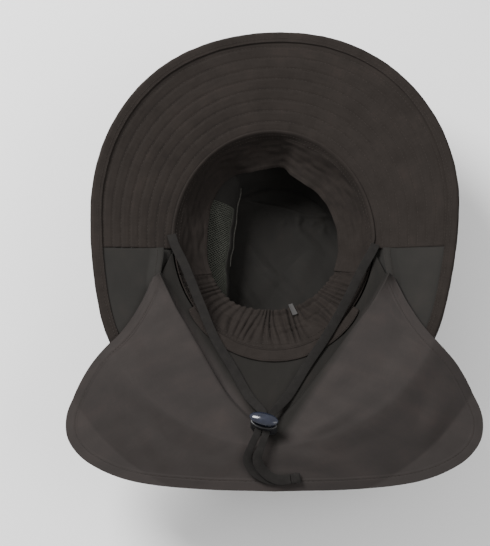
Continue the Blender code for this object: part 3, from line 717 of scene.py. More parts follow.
def settled(obj, finish, body, slot, *nodes):
    """Gives a piece its finish and body, and hides the CAD nodes it stands for."""
    obj.data.materials.clear()
    obj.data.materials.append(finish)
    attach(obj, body)
    if nodes:
        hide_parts(*nodes)
    return obj


def linked(name, data):
    obj = bpy.data.objects.new(name, data)
    bpy.context.scene.collection.objects.link(obj)
    return obj


def cloth(name, size, place, thickness, flat, rows_at=None, hole=None, diamonds=False):
    """A sewn piece: a grid of size columns and rows placed by a function of its two shares, made thick.

    flat is its width and length in metres, which set the size of the weave.
    rows_at moves the rows closer together
    where the piece needs them. diamonds turns the grid into a net of diamonds.
    """
    columns, rows = size
    shape = bmesh.new()
    bmesh.ops.create_grid(shape, x_segments=columns, y_segments=rows, size=0.5)
    for vertex in shape.verts:
        vertex.co += Vector((0.5, 0.5, 0.0))
    if hole:
        inside = [face for face in shape.faces if hole(*face.calc_center_median().xy)]
        bmesh.ops.delete(shape, geom=inside, context="FACES")
    if diamonds:
        squares = list(shape.edges)
        bmesh.ops.poke(shape, faces=shape.faces)
        inner = [edge for edge in squares if edge.is_valid and not edge.is_boundary]
        bmesh.ops.dissolve_edges(shape, edges=inner, use_verts=False)
    layer = shape.loops.layers.uv.new("cloth")
    for face in shape.faces:
        for loop in face.loops:
            u, v = loop.vert.co.x, loop.vert.co.y
            loop[layer].uv = (u * flat[0], (rows_at(v) if rows_at else v) * flat[1])
    for vertex in shape.verts:
        u, v = vertex.co.x, vertex.co.y
        vertex.co = place(u, rows_at(v) if rows_at else v)
    bmesh.ops.remove_doubles(shape, verts=shape.verts, dist=MERGE)
    bmesh.ops.recalc_face_normals(shape, faces=shape.faces)
    mesh = bpy.data.meshes.new(name)
    shape.to_mesh(mesh)
    shape.free()
    mesh.shade_smooth()
    obj = linked(name, mesh)
    if thickness:
        solid = obj.modifiers.new("Thickness", "SOLIDIFY")
        solid.thickness = thickness
        solid.offset = 0.0
        solid.use_quality_normals = True
    return obj


class Stitching:
    """Rows of raised stitches, gathered into one piece."""

    def __init__(self):
        self.points = []
        self.faces = []

    def row(self, place, length, pitch=STITCH_PITCH, width=STITCH_WIDTH):
        """Stitches along place(share), which gives a point on the cloth and the direction out of it."""
        count = max(1, round(length / pitch))
        for index in range(count):
            start, up = place((index + 0.5 - STITCH_FILL / 2) / count)
            end, _ = place((index + 0.5 + STITCH_FILL / 2) / count)
            self.stitch(start, end, up.normalized(), width)

    def stitch(self, start, end, up, width):
        along = end - start
        if along.length < MERGE:
            return
        side = along.cross(up).normalized() * (width / 2)
        rise = up * (width / 2)
        first = len(self.points)
        self.points.append(start - rise)
        for share, fat in ((0.16, 0.8), (0.5, 1.0), (0.84, 0.8)):
            middle = start + along * share + up * STITCH_LIFT
            for turn in range(6):
                angle = math.tau * turn / 6
                self.points.append(middle + side * (fat * math.cos(angle)) + rise * (fat * math.sin(angle)))
        self.points.append(end - rise)
        last = len(self.points) - 1
        for turn in range(6):
            after = (turn + 1) % 6
            self.faces.append((first, first + 1 + after, first + 1 + turn))
            for ring in (0, 6):
                near, far = first + 1 + ring, first + 7 + ring
                self.faces.append((near + turn, near + after, far + after, far + turn))
            self.faces.append((last, first + 13 + turn, first + 13 + after))

    def finish(self, name, finish, slot):
        mesh = bpy.data.meshes.new(name)
        mesh.from_pydata([tuple(point) for point in self.points], [], self.faces)
        mesh.shade_smooth()
        mesh.update()
        return settled(linked(name, mesh), finish, HAT, slot)


def on_surface(surface, u_at, v_at, lift, step=1e-3):
    """A stitch row's place on a surface of two shares: the point, raised by lift, and the way out."""

    def place(share):
        u, v = u_at(share), v_at(share)
        point = surface(u, v)
        across = surface(u + step, v) - surface(u - step, v)
        down = surface(u, v + step) - surface(u, v - step)
        up = across.cross(down)
        if up.z < 0:
            up.negate()
        up.normalize()
        return point + up * lift, up

    return place


def make_camera():
    data = bpy.data.cameras.new("camera")
    data.lens = CAMERA_LENS
    data.sensor_width = SENSOR
    data.clip_start = 0.01
    camera = linked("camera", data)
    angle = math.radians(CAMERA_ELEVATION)
    forward = Vector((0.0, math.cos(angle), -math.sin(angle)))
    camera.location = CAMERA_TARGET - forward * CAMERA_DISTANCE
    camera.rotation_euler = (math.pi / 2 - angle, 0.0, 0.0)
    bpy.context.scene.camera = camera


def area_light(name, place, size, power, colour=(1.0, 1.0, 1.0)):
    data = bpy.data.lights.new(name, "AREA")
    data.shape = "DISK"
    data.size = size
    data.energy = power
    data.color = colour
    light = linked(name, data)
    light.location = place
    light.rotation_euler = (CAMERA_TARGET - light.location).to_track_quat("-Z", "Y").to_euler()


def make_studio():
    """A plain pale floor and soft light, brightest from the upper left."""
    shape = bmesh.new()
    bmesh.ops.create_grid(shape, x_segments=1, y_segments=1, size=4.0)
    mesh = bpy.data.meshes.new("floor")
    shape.to_mesh(mesh)
    shape.free()
    floor = linked("floor", mesh)
    made = Nodes("floor_paper")
    made.shader.inputs["Base Color"].default_value = (0.88, 0.88, 0.88, 1.0)
    made.shader.inputs["Roughness"].default_value = 0.9
    made.shader.inputs["Specular IOR Level"].default_value = 0.1
    floor.data.materials.append(made.material)
    world = bpy.data.worlds.new("studio")
    world.use_nodes = True
    world.node_tree.nodes["Background"].inputs["Color"].default_value = (1.0, 1.0, 1.0, 1.0)
    world.node_tree.nodes["Background"].inputs["Strength"].default_value = 0.72
    bpy.context.scene.world = world
    area_light("key_light", Vector((-0.75, 0.60, 1.20)), 0.7, 40.0)
    area_light("fill_light", Vector((0.95, -0.35, 1.15)), 1.1, 8.0)


def lock_frame():
    """The cord lock's own frame, square to the flap, turned a little. X is along it, Y up the strap."""
    behind = cover_height(LOCK_X, LOCK_Y - LOCK_HALF_WIDTH)
    ahead = cover_height(LOCK_X, LOCK_Y + LOCK_HALF_WIDTH)
    tilt = math.atan2(behind - ahead, 2 * LOCK_HALF_WIDTH)
    base = cover_height(LOCK_X, LOCK_Y) + FLAP_THICKNESS / 2 + LOCK_SEAT
    turn = Matrix.Rotation(math.radians(LOCK_TURN_DEG), 4, "Z")
    return Matrix.Translation((LOCK_X, LOCK_Y, base)) @ Matrix.Rotation(-tilt, 4, "X") @ turn


def strap_level():
    """Height of the straps inside the lock, held between the slot's roof and the plunger's sill."""
    roof = LOCK_SLOT_FLOOR + LOCK_SLOT_HEIGHT
    return roof - RUN_GAP - STRAP_THICKNESS * STRAP_PINCH / 2


def on_flap(places):
    return [Vector((x, y, cover_height(x, y) + lift)) for x, y, lift in places]


def curve_between(before, low, high, after, share):
    """A point between low and high on the smooth curve through all four."""
    square = share * share
    cube = square * share
    low_slope = (high - before) / 2
    high_slope = (after - low) / 2
    return (
        low * (2 * cube - 3 * square + 1)
        + low_slope * (cube - 2 * square + share)
        + high * (3 * square - 2 * cube)
        + high_slope * (cube - square)
    )


def strap_points(route, tail, frame_of_lock, side):
    """The strap's smooth line: to the lock, straight through it, along the tail; and its width shares."""
    half = side * (STRAP_WIDTH * STRAP_PINCH / 2 + RUN_GAP)
    through = []
    for along in (2.2, 1.1, 0.0, -1.1, -2.0):
        through.append(frame_of_lock @ Vector((half, along * LOCK_HALF_WIDTH, strap_level())))
    chosen = on_flap(route) + through + on_flap(tail)
    pinched = range(len(route), len(route) + len(through) + 1)
    line = []
    for index in range(len(chosen) - 1):
        before = chosen[max(index - 1, 0)]
        low, high = chosen[index], chosen[index + 1]
        after = chosen[min(index + 2, len(chosen) - 1)]
        steps = max(1, round((high - low).length / STRAP_STEP))
        for step in range(steps):
            share = step / steps
            width = between(
                STRAP_PINCH if index in pinched else 1.0,
                STRAP_PINCH if index + 1 in pinched else 1.0,
                share,
            )
            line.append((curve_between(before, low, high, after, share), width))
    line.append((chosen[-1], 1.0))
    return line


def line_length(points):
    return sum((after - before).length for before, after in zip(points, points[1:]))


def make_strap(name, route, tail, frame_of_lock, side, finish):
    data = bpy.data.curves.new(name, "CURVE")
    data.dimensions = "3D"
    data.twist_mode = "Z_UP"
    data.extrude = (STRAP_WIDTH - STRAP_THICKNESS) / 2
    data.bevel_depth = STRAP_THICKNESS / 2
    data.bevel_resolution = 2
    data.use_fill_caps = True
    spline = data.splines.new("POLY")
    line = strap_points(route, tail, frame_of_lock, side)
    spline.points.add(len(line) - 1)
    for index, (point, (place, width)) in enumerate(zip(spline.points, line)):
        point.co = (*place, 1.0)
        point.radius = width
        point.tilt = math.pi / 2 + 0.10 * math.sin(index * 0.11 + side)
    replaced_node = "chin_strap_left" if side < 0 else "chin_strap_right"
    strap = settled(linked(name, data), finish, HAT, "strap_tape", replaced_node)
    return strap, [place for place, _ in line]


def make_straps(tape, frame_of_lock):
    end = make_strap_end(tape)
    halves = (
        ("strap_left", LEFT_ROUTE, LEFT_TAIL, -1, [end]),
        ("strap_right", RIGHT_ROUTE, RIGHT_TAIL, 1, []),
    )
    for name, route, tail, side, pieces in halves:
        strap, points = make_strap(name, route, tail, frame_of_lock, side, tape)
        tuple(points[0])
        line_length(points)
        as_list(pieces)


def make_strap_end(tape):
    """The folded, sewn end of the strap: a soft block, pressed thinner in a bar across it where it is sewn.
    """
    end_x, end_y, end_lift = RIGHT_TAIL[-1]
    thickness = 2 * STRAP_THICKNESS + 2 * GAP
    middle = (LEFT_TAIL[-1][2] + end_lift) / 2
    start = Vector((end_x + GAP, end_y, cover_height(end_x, end_y) + middle))
    heading = (start.xy - Vector(RIGHT_TAIL[-2][:2])).normalized()
    shape = bmesh.new()
    bmesh.ops.create_grid(shape, x_segments=14, y_segments=10, size=0.5)
    swollen = bmesh.ops.extrude_face_region(shape, geom=list(shape.faces))
    for item in swollen["geom"]:
        if isinstance(item, bmesh.types.BMVert):
            item.co.z = 1.0
    for vertex in shape.verts:
        x, y, z = vertex.co
        swell = 1.0 - 0.35 * hump((x + 0.18) / 0.12) + 0.12 * rough(x, y, z, 0.2)
        edge = (1.0 - (2 * y) ** 6) * (1.0 - (2 * x) ** 8)
        height = (z - 0.5) * thickness * swell * max(edge, 0.25)
        vertex.co = Vector((
            (x + 0.5) * STRAP_END_LENGTH,
            y * STRAP_WIDTH * (1.0 + 0.05 * rough(x, z, y, 0.3)),
            height,
        ))
    bmesh.ops.recalc_face_normals(shape, faces=shape.faces)
    bmesh.ops.transform(
        shape, verts=shape.verts,
        matrix=Matrix.Translation(start) @ Matrix.Rotation(math.atan2(heading.y, heading.x), 4, "Z"),
    )
    mesh = bpy.data.meshes.new("strap_tail_end")
    shape.to_mesh(mesh)
    shape.free()
    mesh.shade_smooth()
    end = linked("strap_tail_end", mesh)
    rounded = end.modifiers.new("Rounded", "SUBSURF")
    rounded.levels = rounded.render_levels = 1
    return settled(end, tape, HAT, "strap_tape", "strap_end")


def oval_solid(name, half_length, half_width, low, high, bevel, segments=64):
    shape = bmesh.new()
    bmesh.ops.create_cone(shape, cap_ends=True, segments=segments, radius1=1.0, radius2=1.0, depth=high - low)
    bmesh.ops.scale(shape, vec=(half_length, half_width, 1.0), verts=shape.verts)
    bmesh.ops.translate(shape, vec=(0, 0, (low + high) / 2), verts=shape.verts)
    mesh = bpy.data.meshes.new(name)
    shape.to_mesh(mesh)
    shape.free()
    obj = linked(name, mesh)
    if bevel:
        edge = obj.modifiers.new("Edge", "BEVEL")
        edge.width = bevel
        edge.segments = 3
        edge.limit_method = "ANGLE"
        edge.angle_limit = math.radians(50)
    return obj


def block_solid(name, half_length, half_width, low, high):
    shape = bmesh.new()
    bmesh.ops.create_cube(shape, size=1.0)
    bmesh.ops.scale(shape, vec=(2 * half_length, 2 * half_width, high - low), verts=shape.verts)
    bmesh.ops.translate(shape, vec=(0, 0, (low + high) / 2), verts=shape.verts)
    mesh = bpy.data.meshes.new(name)
    shape.to_mesh(mesh)
    shape.free()
    return linked(name, mesh)


def carve(obj, other, operation):
    step = obj.modifiers.new(operation.title(), "BOOLEAN")
    step.operation = operation
    step.object = other


def baked(obj, tools):
    """Applies an object's modifiers and removes the objects that they used."""
    graph = bpy.context.evaluated_depsgraph_get()
    mesh = bpy.data.meshes.new_from_object(obj.evaluated_get(graph))
    obj.modifiers.clear()
    obj.data = mesh
    for tool in tools:
        bpy.data.objects.remove(tool, do_unlink=True)
    return obj


def soft_edges(obj, width):
    edge = obj.modifiers.new("Soft edges", "BEVEL")
    edge.width = width
    edge.segments = 2
    edge.limit_method = "ANGLE"
    edge.angle_limit = math.radians(40)


def make_lock(body_plastic, head_plastic, frame_of_lock):
    """The cord lock's barrel and its plunger with a domed, glossy head, in the places of their CAD nodes."""
    slot_half = STRAP_WIDTH * STRAP_PINCH + 2 * RUN_GAP
    cavity_length = LOCK_HALF_LENGTH - LOCK_WALL
    cavity_width = LOCK_HALF_WIDTH - LOCK_WALL
    floor = LOCK_WALL * 0.8
    slot_top = LOCK_SLOT_FLOOR + LOCK_SLOT_HEIGHT
    barrel = oval_solid("lock_barrel", LOCK_HALF_LENGTH, LOCK_HALF_WIDTH, 0.0, LOCK_HEIGHT, 0.0009)
    cavity = oval_solid("cavity", cavity_length, cavity_width, floor, 2 * LOCK_HEIGHT, 0.0)
    slot = block_solid("slot", slot_half, 2 * LOCK_HALF_WIDTH, LOCK_SLOT_FLOOR, slot_top)
    carve(barrel, cavity, "DIFFERENCE")
    carve(barrel, slot, "DIFFERENCE")
    baked(barrel, [cavity, slot])
    sill = strap_level() - STRAP_THICKNESS * STRAP_PINCH / 2 - RUN_GAP
    stem_low = floor + LOCK_TRAVEL + GAP
    head_middle = LOCK_HEIGHT + LOCK_TRAVEL + GAP + LOCK_HEAD_HALF_HEIGHT
    plunger = oval_solid(
        "lock_button", cavity_length - RUN_GAP, cavity_width - RUN_GAP, stem_low, head_middle, 0.0)
    shape = bmesh.new()
    bmesh.ops.create_uvsphere(shape, u_segments=56, v_segments=28, radius=1.0)
    for vertex in shape.verts:
        x, y, z = vertex.co
        squared = 1.0 - 0.10 * z * z
        vertex.co = Vector((
            x * LOCK_HEAD_HALF_LENGTH * squared,
            y * LOCK_HEAD_HALF_WIDTH * squared,
            head_middle + z * LOCK_HEAD_HALF_HEIGHT,
        ))
    mesh = bpy.data.meshes.new("head")
    shape.to_mesh(mesh)
    shape.free()
    head = linked("head", mesh)
    window = block_solid("window", slot_half, LOCK_HALF_WIDTH, sill, sill + LOCK_SLOT_HEIGHT)
    carve(plunger, head, "UNION")
    carve(plunger, window, "DIFFERENCE")
    baked(plunger, [head, window])
    for piece, finish, body, slot_name, node in (
        (barrel, body_plastic, HAT, "lock_body", "cord_lock_barrel"),
        (plunger, head_plastic, PLUNGER, "lock_head", "cord_lock_plunger"),
    ):
        piece.data.transform(frame_of_lock)
        soft_edges(piece, 0.00025)
        piece.data.shade_smooth()
        smooth = piece.modifiers.new("Facets", "WEIGHTED_NORMAL")
        smooth.keep_sharp = True
        settled(piece, finish, body, slot_name, node)


def edge_of_brim(theta):
    """Outer edge of the brim's cloth, inside the binding."""
    return brim_reach(theta) - BINDING_WALL - GAP


def quilt_row_share(row):
    return between(QUILT_FIRST, QUILT_LAST, row / (QUILT_ROWS - 1))


def front_surface(u, v):
    """Stiff front brim: pulled down along each row of stitches, slightly puffed and puckered between them."""
    theta = math.radians(between(FRONT_START_DEG, FRONT_END_DEG, u))
    edge = edge_of_brim(theta)
    out = between(BRIM_START, edge, v)
    nearest = min(abs(out - quilt_row_share(row) * edge) for row in range(QUILT_ROWS))
    pinch = math.exp(-((nearest / QUILT_HALF_WIDTH) ** 2))
    point = brim_point(theta, out)
    pucker = rough(point.x, point.y, 0.0, 0.006) * 0.00022 * math.exp(-((nearest / 0.0032) ** 2))
    wave = rough(point.x, point.y, 3.0, 0.055) * 0.0009 * smooth_step(0.0, 0.02, out)
    point.z += wave + pucker - QUILT_DEPTH * pinch
    return point


def front_flat_surface(u, v):
    """The front brim without its stitched grooves, for the stitches that lie in them."""
    theta = math.radians(between(FRONT_START_DEG, FRONT_END_DEG, u))
    out = between(BRIM_START, edge_of_brim(theta), v)
    point = brim_point(theta, out)
    point.z += rough(point.x, point.y, 3.0, 0.055) * 0.0009 * smooth_step(0.0, 0.02, out)
    return point


def make_front_brim(canvas, thread):
    front = cloth("front_brim", (300, 120), front_surface, BRIM_THICKNESS, (0.43, BRIM_WIDTH))
    settled(front, canvas, HAT, "brim_cloth", "brim_front")
    rows = Stitching()
    for row in range(QUILT_ROWS):
        theta = math.pi / 2
        share = (quilt_row_share(row) * edge_of_brim(theta) - BRIM_START) / (edge_of_brim(theta) - BRIM_START)
        length = math.pi * (HEAD_HALF_WIDTH + HEAD_HALF_LENGTH) / 2 + math.pi * 0.9 * share * BRIM_WIDTH
        for side in (1, -1):
            lift = side * (BRIM_THICKNESS / 2) - QUILT_DEPTH
            place = on_surface(front_flat_surface, lambda s: between(0.004, 0.996, s), lambda s: share, lift)
            rows.row(place if side > 0 else flipped(place), length)
    rows.finish("brim_stitches", thread, "brim_cloth")


def flipped(place):
    """The same stitches seen from the cloth's other side."""

    def turned(share):
        point, up = place(share)
        return point, -up

    return turned


def rear_angle(u):
    start, end = FRONT_END_DEG, 360 + FRONT_START_DEG
    margin = math.degrees(GAP / (2 * HEAD_HALF_WIDTH))
    return math.radians(between(start + margin, end - margin, u))


def shell_surface(u, v):
    theta = rear_angle(u)
    point = brim_point(theta, between(BRIM_START, edge_of_brim(theta), v), -(BRIM_THICKNESS - REAR_PLY) / 2)
    point.z += rough(point.x, point.y, 5.0, 0.04) * 0.0006 * math.sin(math.pi * v)
    return point


def lip_setback(u):
    along = min(u, 1 - u) * 2
    return between(LIP_START_SETBACK, LIP_SETBACK, smooth_step(0.0, 0.24, along))


def lining_surface(u, v):
    """Smooth rear ply: lifted at its free inner lip, with a thicker hem there and soft creases."""
    theta = rear_angle(u)
    setback = lip_setback(u)
    out = between(setback, edge_of_brim(theta), v)
    open_share = hump((min(u, 1 - u) - 0.07) / 0.13)
    lift = LIP_HEIGHT * open_share * hump((out - setback) / LIP_WIDTH)
    hem = 0.0004 * (1.0 - smooth_step(0.0052, 0.0062, out - setback))
    point = brim_point(theta, out, (BRIM_THICKNESS - REAR_PLY) / 2 + lift + hem)
    calm = smooth_step(0.0, 0.012, out - setback) * smooth_step(0.0, 0.012, edge_of_brim(theta) - out)
    fine_waves = rough(point.x, point.y, 8.0, 0.022) * 0.0005
    broad_waves = rough(point.x, point.y, 8.0, 0.05) * 0.0009
    point.z += (fine_waves + broad_waves) * calm
    return point


def lip_row_share(distance):
    return distance / (edge_of_brim(rear_angle(0.08)) - lip_setback(0.08))


def make_rear_brim(smooth_cloth, thread):
    shell = cloth("rear_shell", (150, 30), shell_surface, REAR_PLY, (0.42, BRIM_WIDTH))
    settled(shell, smooth_cloth, HAT, "smooth_cloth", "rear_brim_shell")
    lining = cloth("rear_lining", (190, 90), lining_surface, REAR_PLY, (0.42, BRIM_WIDTH * 0.8))
    settled(lining, smooth_cloth, HAT, "smooth_cloth", "rear_brim_lining")
    rows = Stitching()
    for start, end in ((0.004, 0.2), (0.8, 0.996)):
        for distance in (0.0012, 0.0048):
            place = on_surface(
                lining_surface, lambda s, a=start, b=end: between(a, b, s),
                lambda s, d=distance: lip_row_share(d), REAR_PLY / 2 + STITCH_LIFT,
            )
            rows.row(place, 0.075)
    rows.finish("lip_stitches", thread, "smooth_cloth")


def binding_surface(u, v):
    """The folded strip round the brim's edge. v runs round its section, from the upper leg to the lower."""
    theta = math.tau * u
    inner = BRIM_THICKNESS / 2 + GAP / 2
    outer = inner + BINDING_WALL
    radius = outer
    along = v * (2 * (BINDING_LEG - radius) + math.pi * radius)
    straight = BINDING_LEG - radius
    if along < straight:
        inward, height = BINDING_LEG - along, outer
    elif along > straight + math.pi * radius:
        inward, height = radius + (along - straight - math.pi * radius), -outer
    else:
        turn = (along - straight) / radius
        inward, height = radius * (1 - math.sin(turn)), outer * math.cos(turn)
    wave = rough(math.cos(theta), math.sin(theta), height * 40, 0.05) * 0.00025
    inward += wave
    point = brim_point(theta, brim_reach(theta) - inward, height - math.copysign(BINDING_WALL / 2, height))
    front = front_share(theta)
    point.z += rough(point.x, point.y, 3.0, 0.055) * 0.0009 * front
    point.z += rough(point.x, point.y, 9.0, 0.004) * 0.00012
    return point


def front_share(theta):
    """1 along the stiff front brim and 0 along the rear."""
    return smooth_step(-0.16, 0.02, math.sin(theta))


def make_binding(canvas, thread):
    binding = cloth("edge_binding", (420, 26), binding_surface, BINDING_WALL, (1.08, 0.02))
    settled(binding, canvas, HAT, "brim_cloth", "brim_binding")
    rows = Stitching()
    for share in (0.035, 0.16):
        place = on_surface(binding_surface, lambda s: s, lambda s, v=share: v, BINDING_WALL / 2 + STITCH_LIFT)
        rows.row(place, 1.08)
    for share in (0.84, 0.965):
        place = on_surface(
            binding_surface, lambda s: s, lambda s, v=share: v, -BINDING_WALL / 2 - STITCH_LIFT)
        rows.row(place, 1.08)
    rows.finish("binding_stitches", thread, "brim_cloth")


def band_angle(u, start, end):
    return math.radians(between(start, end, u))


def band_front_surface(u, v):
    """Smooth front half of the sweatband, flopping inward, with soft dents and a folded free edge."""
    theta = band_angle(u, BAND_FRONT_START_DEG, BAND_FRONT_END_DEG)
    x, y = math.cos(theta), math.sin(theta)
    soft = rough(x, y, v * 0.5, 0.32) * 0.0022 + rough(x, y, v, 0.12) * 0.0009
    edge = 0.0004 * smooth_step(0.90, 0.93, v)
    seam_roll = 0.0007 * hump(v / 0.05)
    calm = smooth_step(0.0, 0.25, v)
    return rolled(band_point(theta, v, soft * calm + edge + seam_roll), theta, v)


def rolled(point, theta, v):
    """Turns the sweatband's top edge out over the brim's, where the two are sewn together."""
    turn = max(1.0 - v / SEAM_ROLL_SHARE, 0.0) * front_share(theta)
    out = head_normal(theta) * (SEAM_ROLL_OUT * turn * turn)
    return point + out + Vector((0.0, 0.0, SEAM_ROLL_RISE * smooth_step(0.0, 0.6, turn)))


def rear_band_angle(u):
    start, end = BAND_FRONT_END_DEG, 360 + BAND_FRONT_START_DEG
    margin = math.degrees(GAP / HEAD_HALF_WIDTH)
    return math.radians(between(start + margin, end - margin, u))


def band_rear_surface(u, v):
    """Rear of the sweatband, drawn by its elastic into uneven gathers that fade towards the head line."""
    theta = rear_band_angle(u)
    turns = u * 28 + 1.5 * noise.noise(Vector((u * 9.0, v * 0.7, 2.0)))
    height = 0.55 + 0.45 * noise.noise(Vector((u * 16.0, v * 1.5, 7.0)))
    fade = math.sin(math.pi * min(v, 0.72)) ** 0.8
    folds = math.sin(math.tau * turns) * GATHER_DEPTH * 1.7 * height
    small = rough(u * 0.2, v * 0.04, 1.0, 0.006) * 0.0005
    elastic = -0.0006 * (hump((v - 0.62) / 0.05) + hump((v - 0.88) / 0.05))
    arc = (
        -0.0016 * hump((v - 0.40 - 0.09 * math.sin(math.pi * (u - 0.5) / 0.2)) / 0.08)
        * hump((u - 0.60) / 0.12)
    )
    seam = 0.0007 * hump((u - 0.455) / 0.012)
    seam_roll = 0.0007 * hump(v / 0.05)
    edge = 0.0004 * smooth_step(0.92, 0.95, v)
    calm = smooth_step(0.03, 0.2, v)
    return band_point(theta, v, (folds * fade + small + elastic + arc + seam) * calm + seam_roll + edge)


def make_sweatband(canvas, thread, tab_cloth):
    front = cloth("band_front", (220, 66), band_front_surface, BAND_THICKNESS, (0.36, BAND_WIDTH))
    settled(front, canvas, HAT, "brim_cloth", "sweatband_front")
    rear = cloth("band_rear", (300, 50), band_rear_surface, BAND_THICKNESS, (0.30, BAND_WIDTH))
    settled(rear, canvas, HAT, "brim_cloth", "sweatband_rear")
    rows = Stitching()
    lift = BAND_THICKNESS / 2 + STITCH_LIFT
    for surface, length in ((band_front_surface, 0.36), (band_rear_surface, 0.24)):
        for share in (0.055, 0.16):
            place = on_surface(surface, lambda s: between(0.004, 0.996, s), lambda s, v=share: v, lift)
            rows.row(place, length)
    for u in (0.446, 0.466):
        place = on_surface(band_rear_surface, lambda s, a=u: a, lambda s: between(0.06, 0.96, s), lift)
        rows.row(place, BAND_WIDTH)
    rows.finish("band_stitches", thread, "brim_cloth")
    half_turn = TAB_WIDTH / (HEAD_HALF_WIDTH + HEAD_HALF_LENGTH)
    middle = math.radians(TAB_DEG)
    clear = (BAND_THICKNESS + 0.0006) / 2 + GATHER_DEPTH + GAP
    start_share = 1 - 0.8 * TAB_LENGTH / BAND_WIDTH

    def tab_surface(u, v):
        theta = between(middle - half_turn, middle + half_turn, u)
        curl = 0.0009 * v * v - 0.0004 * math.sin(math.pi * u)
        return band_point(theta, start_share + v * TAB_LENGTH / BAND_WIDTH, clear + curl)

    tab = cloth("grey_tab", (16, 20), tab_surface, 0.0006, (TAB_WIDTH, TAB_LENGTH))
    settled(tab, tab_cloth, HAT, "tab_cloth", "size_tab")


def flap_rows(v):
    """Moves the flap's rows closer together at the fold and at the hem."""
    if v < 0.18:
        return FOLD_FOOT * v / 0.18
    if v < 0.30:
        return between(FOLD_FOOT, FOLD_TOP, (v - 0.18) / 0.12)
    step = (v - 0.30) / 0.70
    return between(FOLD_TOP, 1.0, 1.0 - (1.0 - step) ** 1.7)


HEM_LINE = KDTree(721)
for index in range(721):
    hem_point = flap_spoke(index / 720)[3]
    HEM_LINE.insert(hem_point, index)
HEM_LINE.balance()


def hem_distance(point):
    return HEM_LINE.find(Vector((point.x, point.y, 0.0)))[2]


def flap_surface(u, v):
    """The flap with its thicker hem, soft fold lines and the small unevenness of light cloth."""
    point = flap_point(u, v)
    away = hem_distance(point)
    calm = smooth_step(0.0, 0.10, v)
    uneven = rough(point.x, point.y, 1.0, 0.045) * 0.0011 + rough(point.x, point.y, 2.0, 0.016) * 0.00035
    hem = 0.0005 * (1.0 - smooth_step(HEM_WIDTH - 0.0004, HEM_WIDTH + 0.0006, away))
    groove = -0.0003 * hump((away - HEM_WIDTH * 0.86) / 0.0012)
    pucker = rough(point.x, point.y, 4.0, 0.0045) * 0.00022 * hump((away - HEM_WIDTH * 0.86) / 0.006)
    point.z += uneven * calm + hem + groove + pucker
    return point


def hem_stitch_place(distance):
    """A stitch row's place function along the hem, a distance in from the edge."""

    def place(share):
        u = between(0.012, 0.988, share)
        _, _, ridge, hem, _ = flap_spoke(u)
        low, high = FOLD_TOP, 1.0
        for _ in range(12):
            middle = (low + high) / 2
            step = (middle - FOLD_TOP) / (1.0 - FOLD_TOP)
            if hem_distance(ridge.lerp(hem, step)) > distance:
                low = middle
            else:
                high = middle
        point = flap_surface(u, high)
        return point + Vector((0, 0, FLAP_THICKNESS / 2 + STITCH_LIFT)), Vector((0, 0, 1))

    return place


def make_flap(smooth_cloth, thread):
    flap = cloth("flap_cloth", (280, 130), flap_surface, FLAP_THICKNESS, (0.60, 0.16), rows_at=flap_rows)
    settled(flap, smooth_cloth, HAT, "smooth_cloth", "neck_flap")
    rows = Stitching()
    rows.row(hem_stitch_place(HEM_WIDTH * 0.86), 0.78)
    rows.finish("hem_stitches", thread, "smooth_cloth")
    return flap


def tape_surface(u, v):
    theta = math.radians(between(SEAM_TAPE_START_DEG, SEAM_TAPE_END_DEG, u))
    ends = hump(2 * u - 1) ** 0.25
    out = between(BAND_THICKNESS / 2, SEAM_TAPE_WIDTH * between(0.5, 1.0, ends), v)
    lift = flap_lift() + FLAP_THICKNESS / 2 + GAP + 0.0005 + rough(u, v * 0.02, 1.0, 0.03) * 0.0003
    return brim_point(theta, out, lift)


def make_seam_tape(canvas, thread):
    tape = cloth("seam_tape", (120, 10), tape_surface, 0.001, (0.24, SEAM_TAPE_WIDTH))
    settled(tape, canvas, HAT, "brim_cloth", "flap_seam_tape")
    rows = Stitching()
    place = on_surface(tape_surface, lambda s: between(0.01, 0.99, s), lambda s: 0.84, 0.0005 + STITCH_LIFT)
    rows.row(place, 0.24)
    rows.finish("tape_stitches", thread, "brim_cloth")


def soft_wall(theta, share):
    """The crown wall with the finer wrinkles of cloth that has sunk under its own weight."""
    point = crown_ring(theta, share)
    middle = math.sin(math.pi * share)
    x, y = math.cos(theta), math.sin(theta)
    ripple = rough(x, y, share * 0.25, 0.22) * 0.0026 + rough(x, y, share * 0.6, 0.09) * 0.0010
    return point + head_normal(theta) * ripple * middle


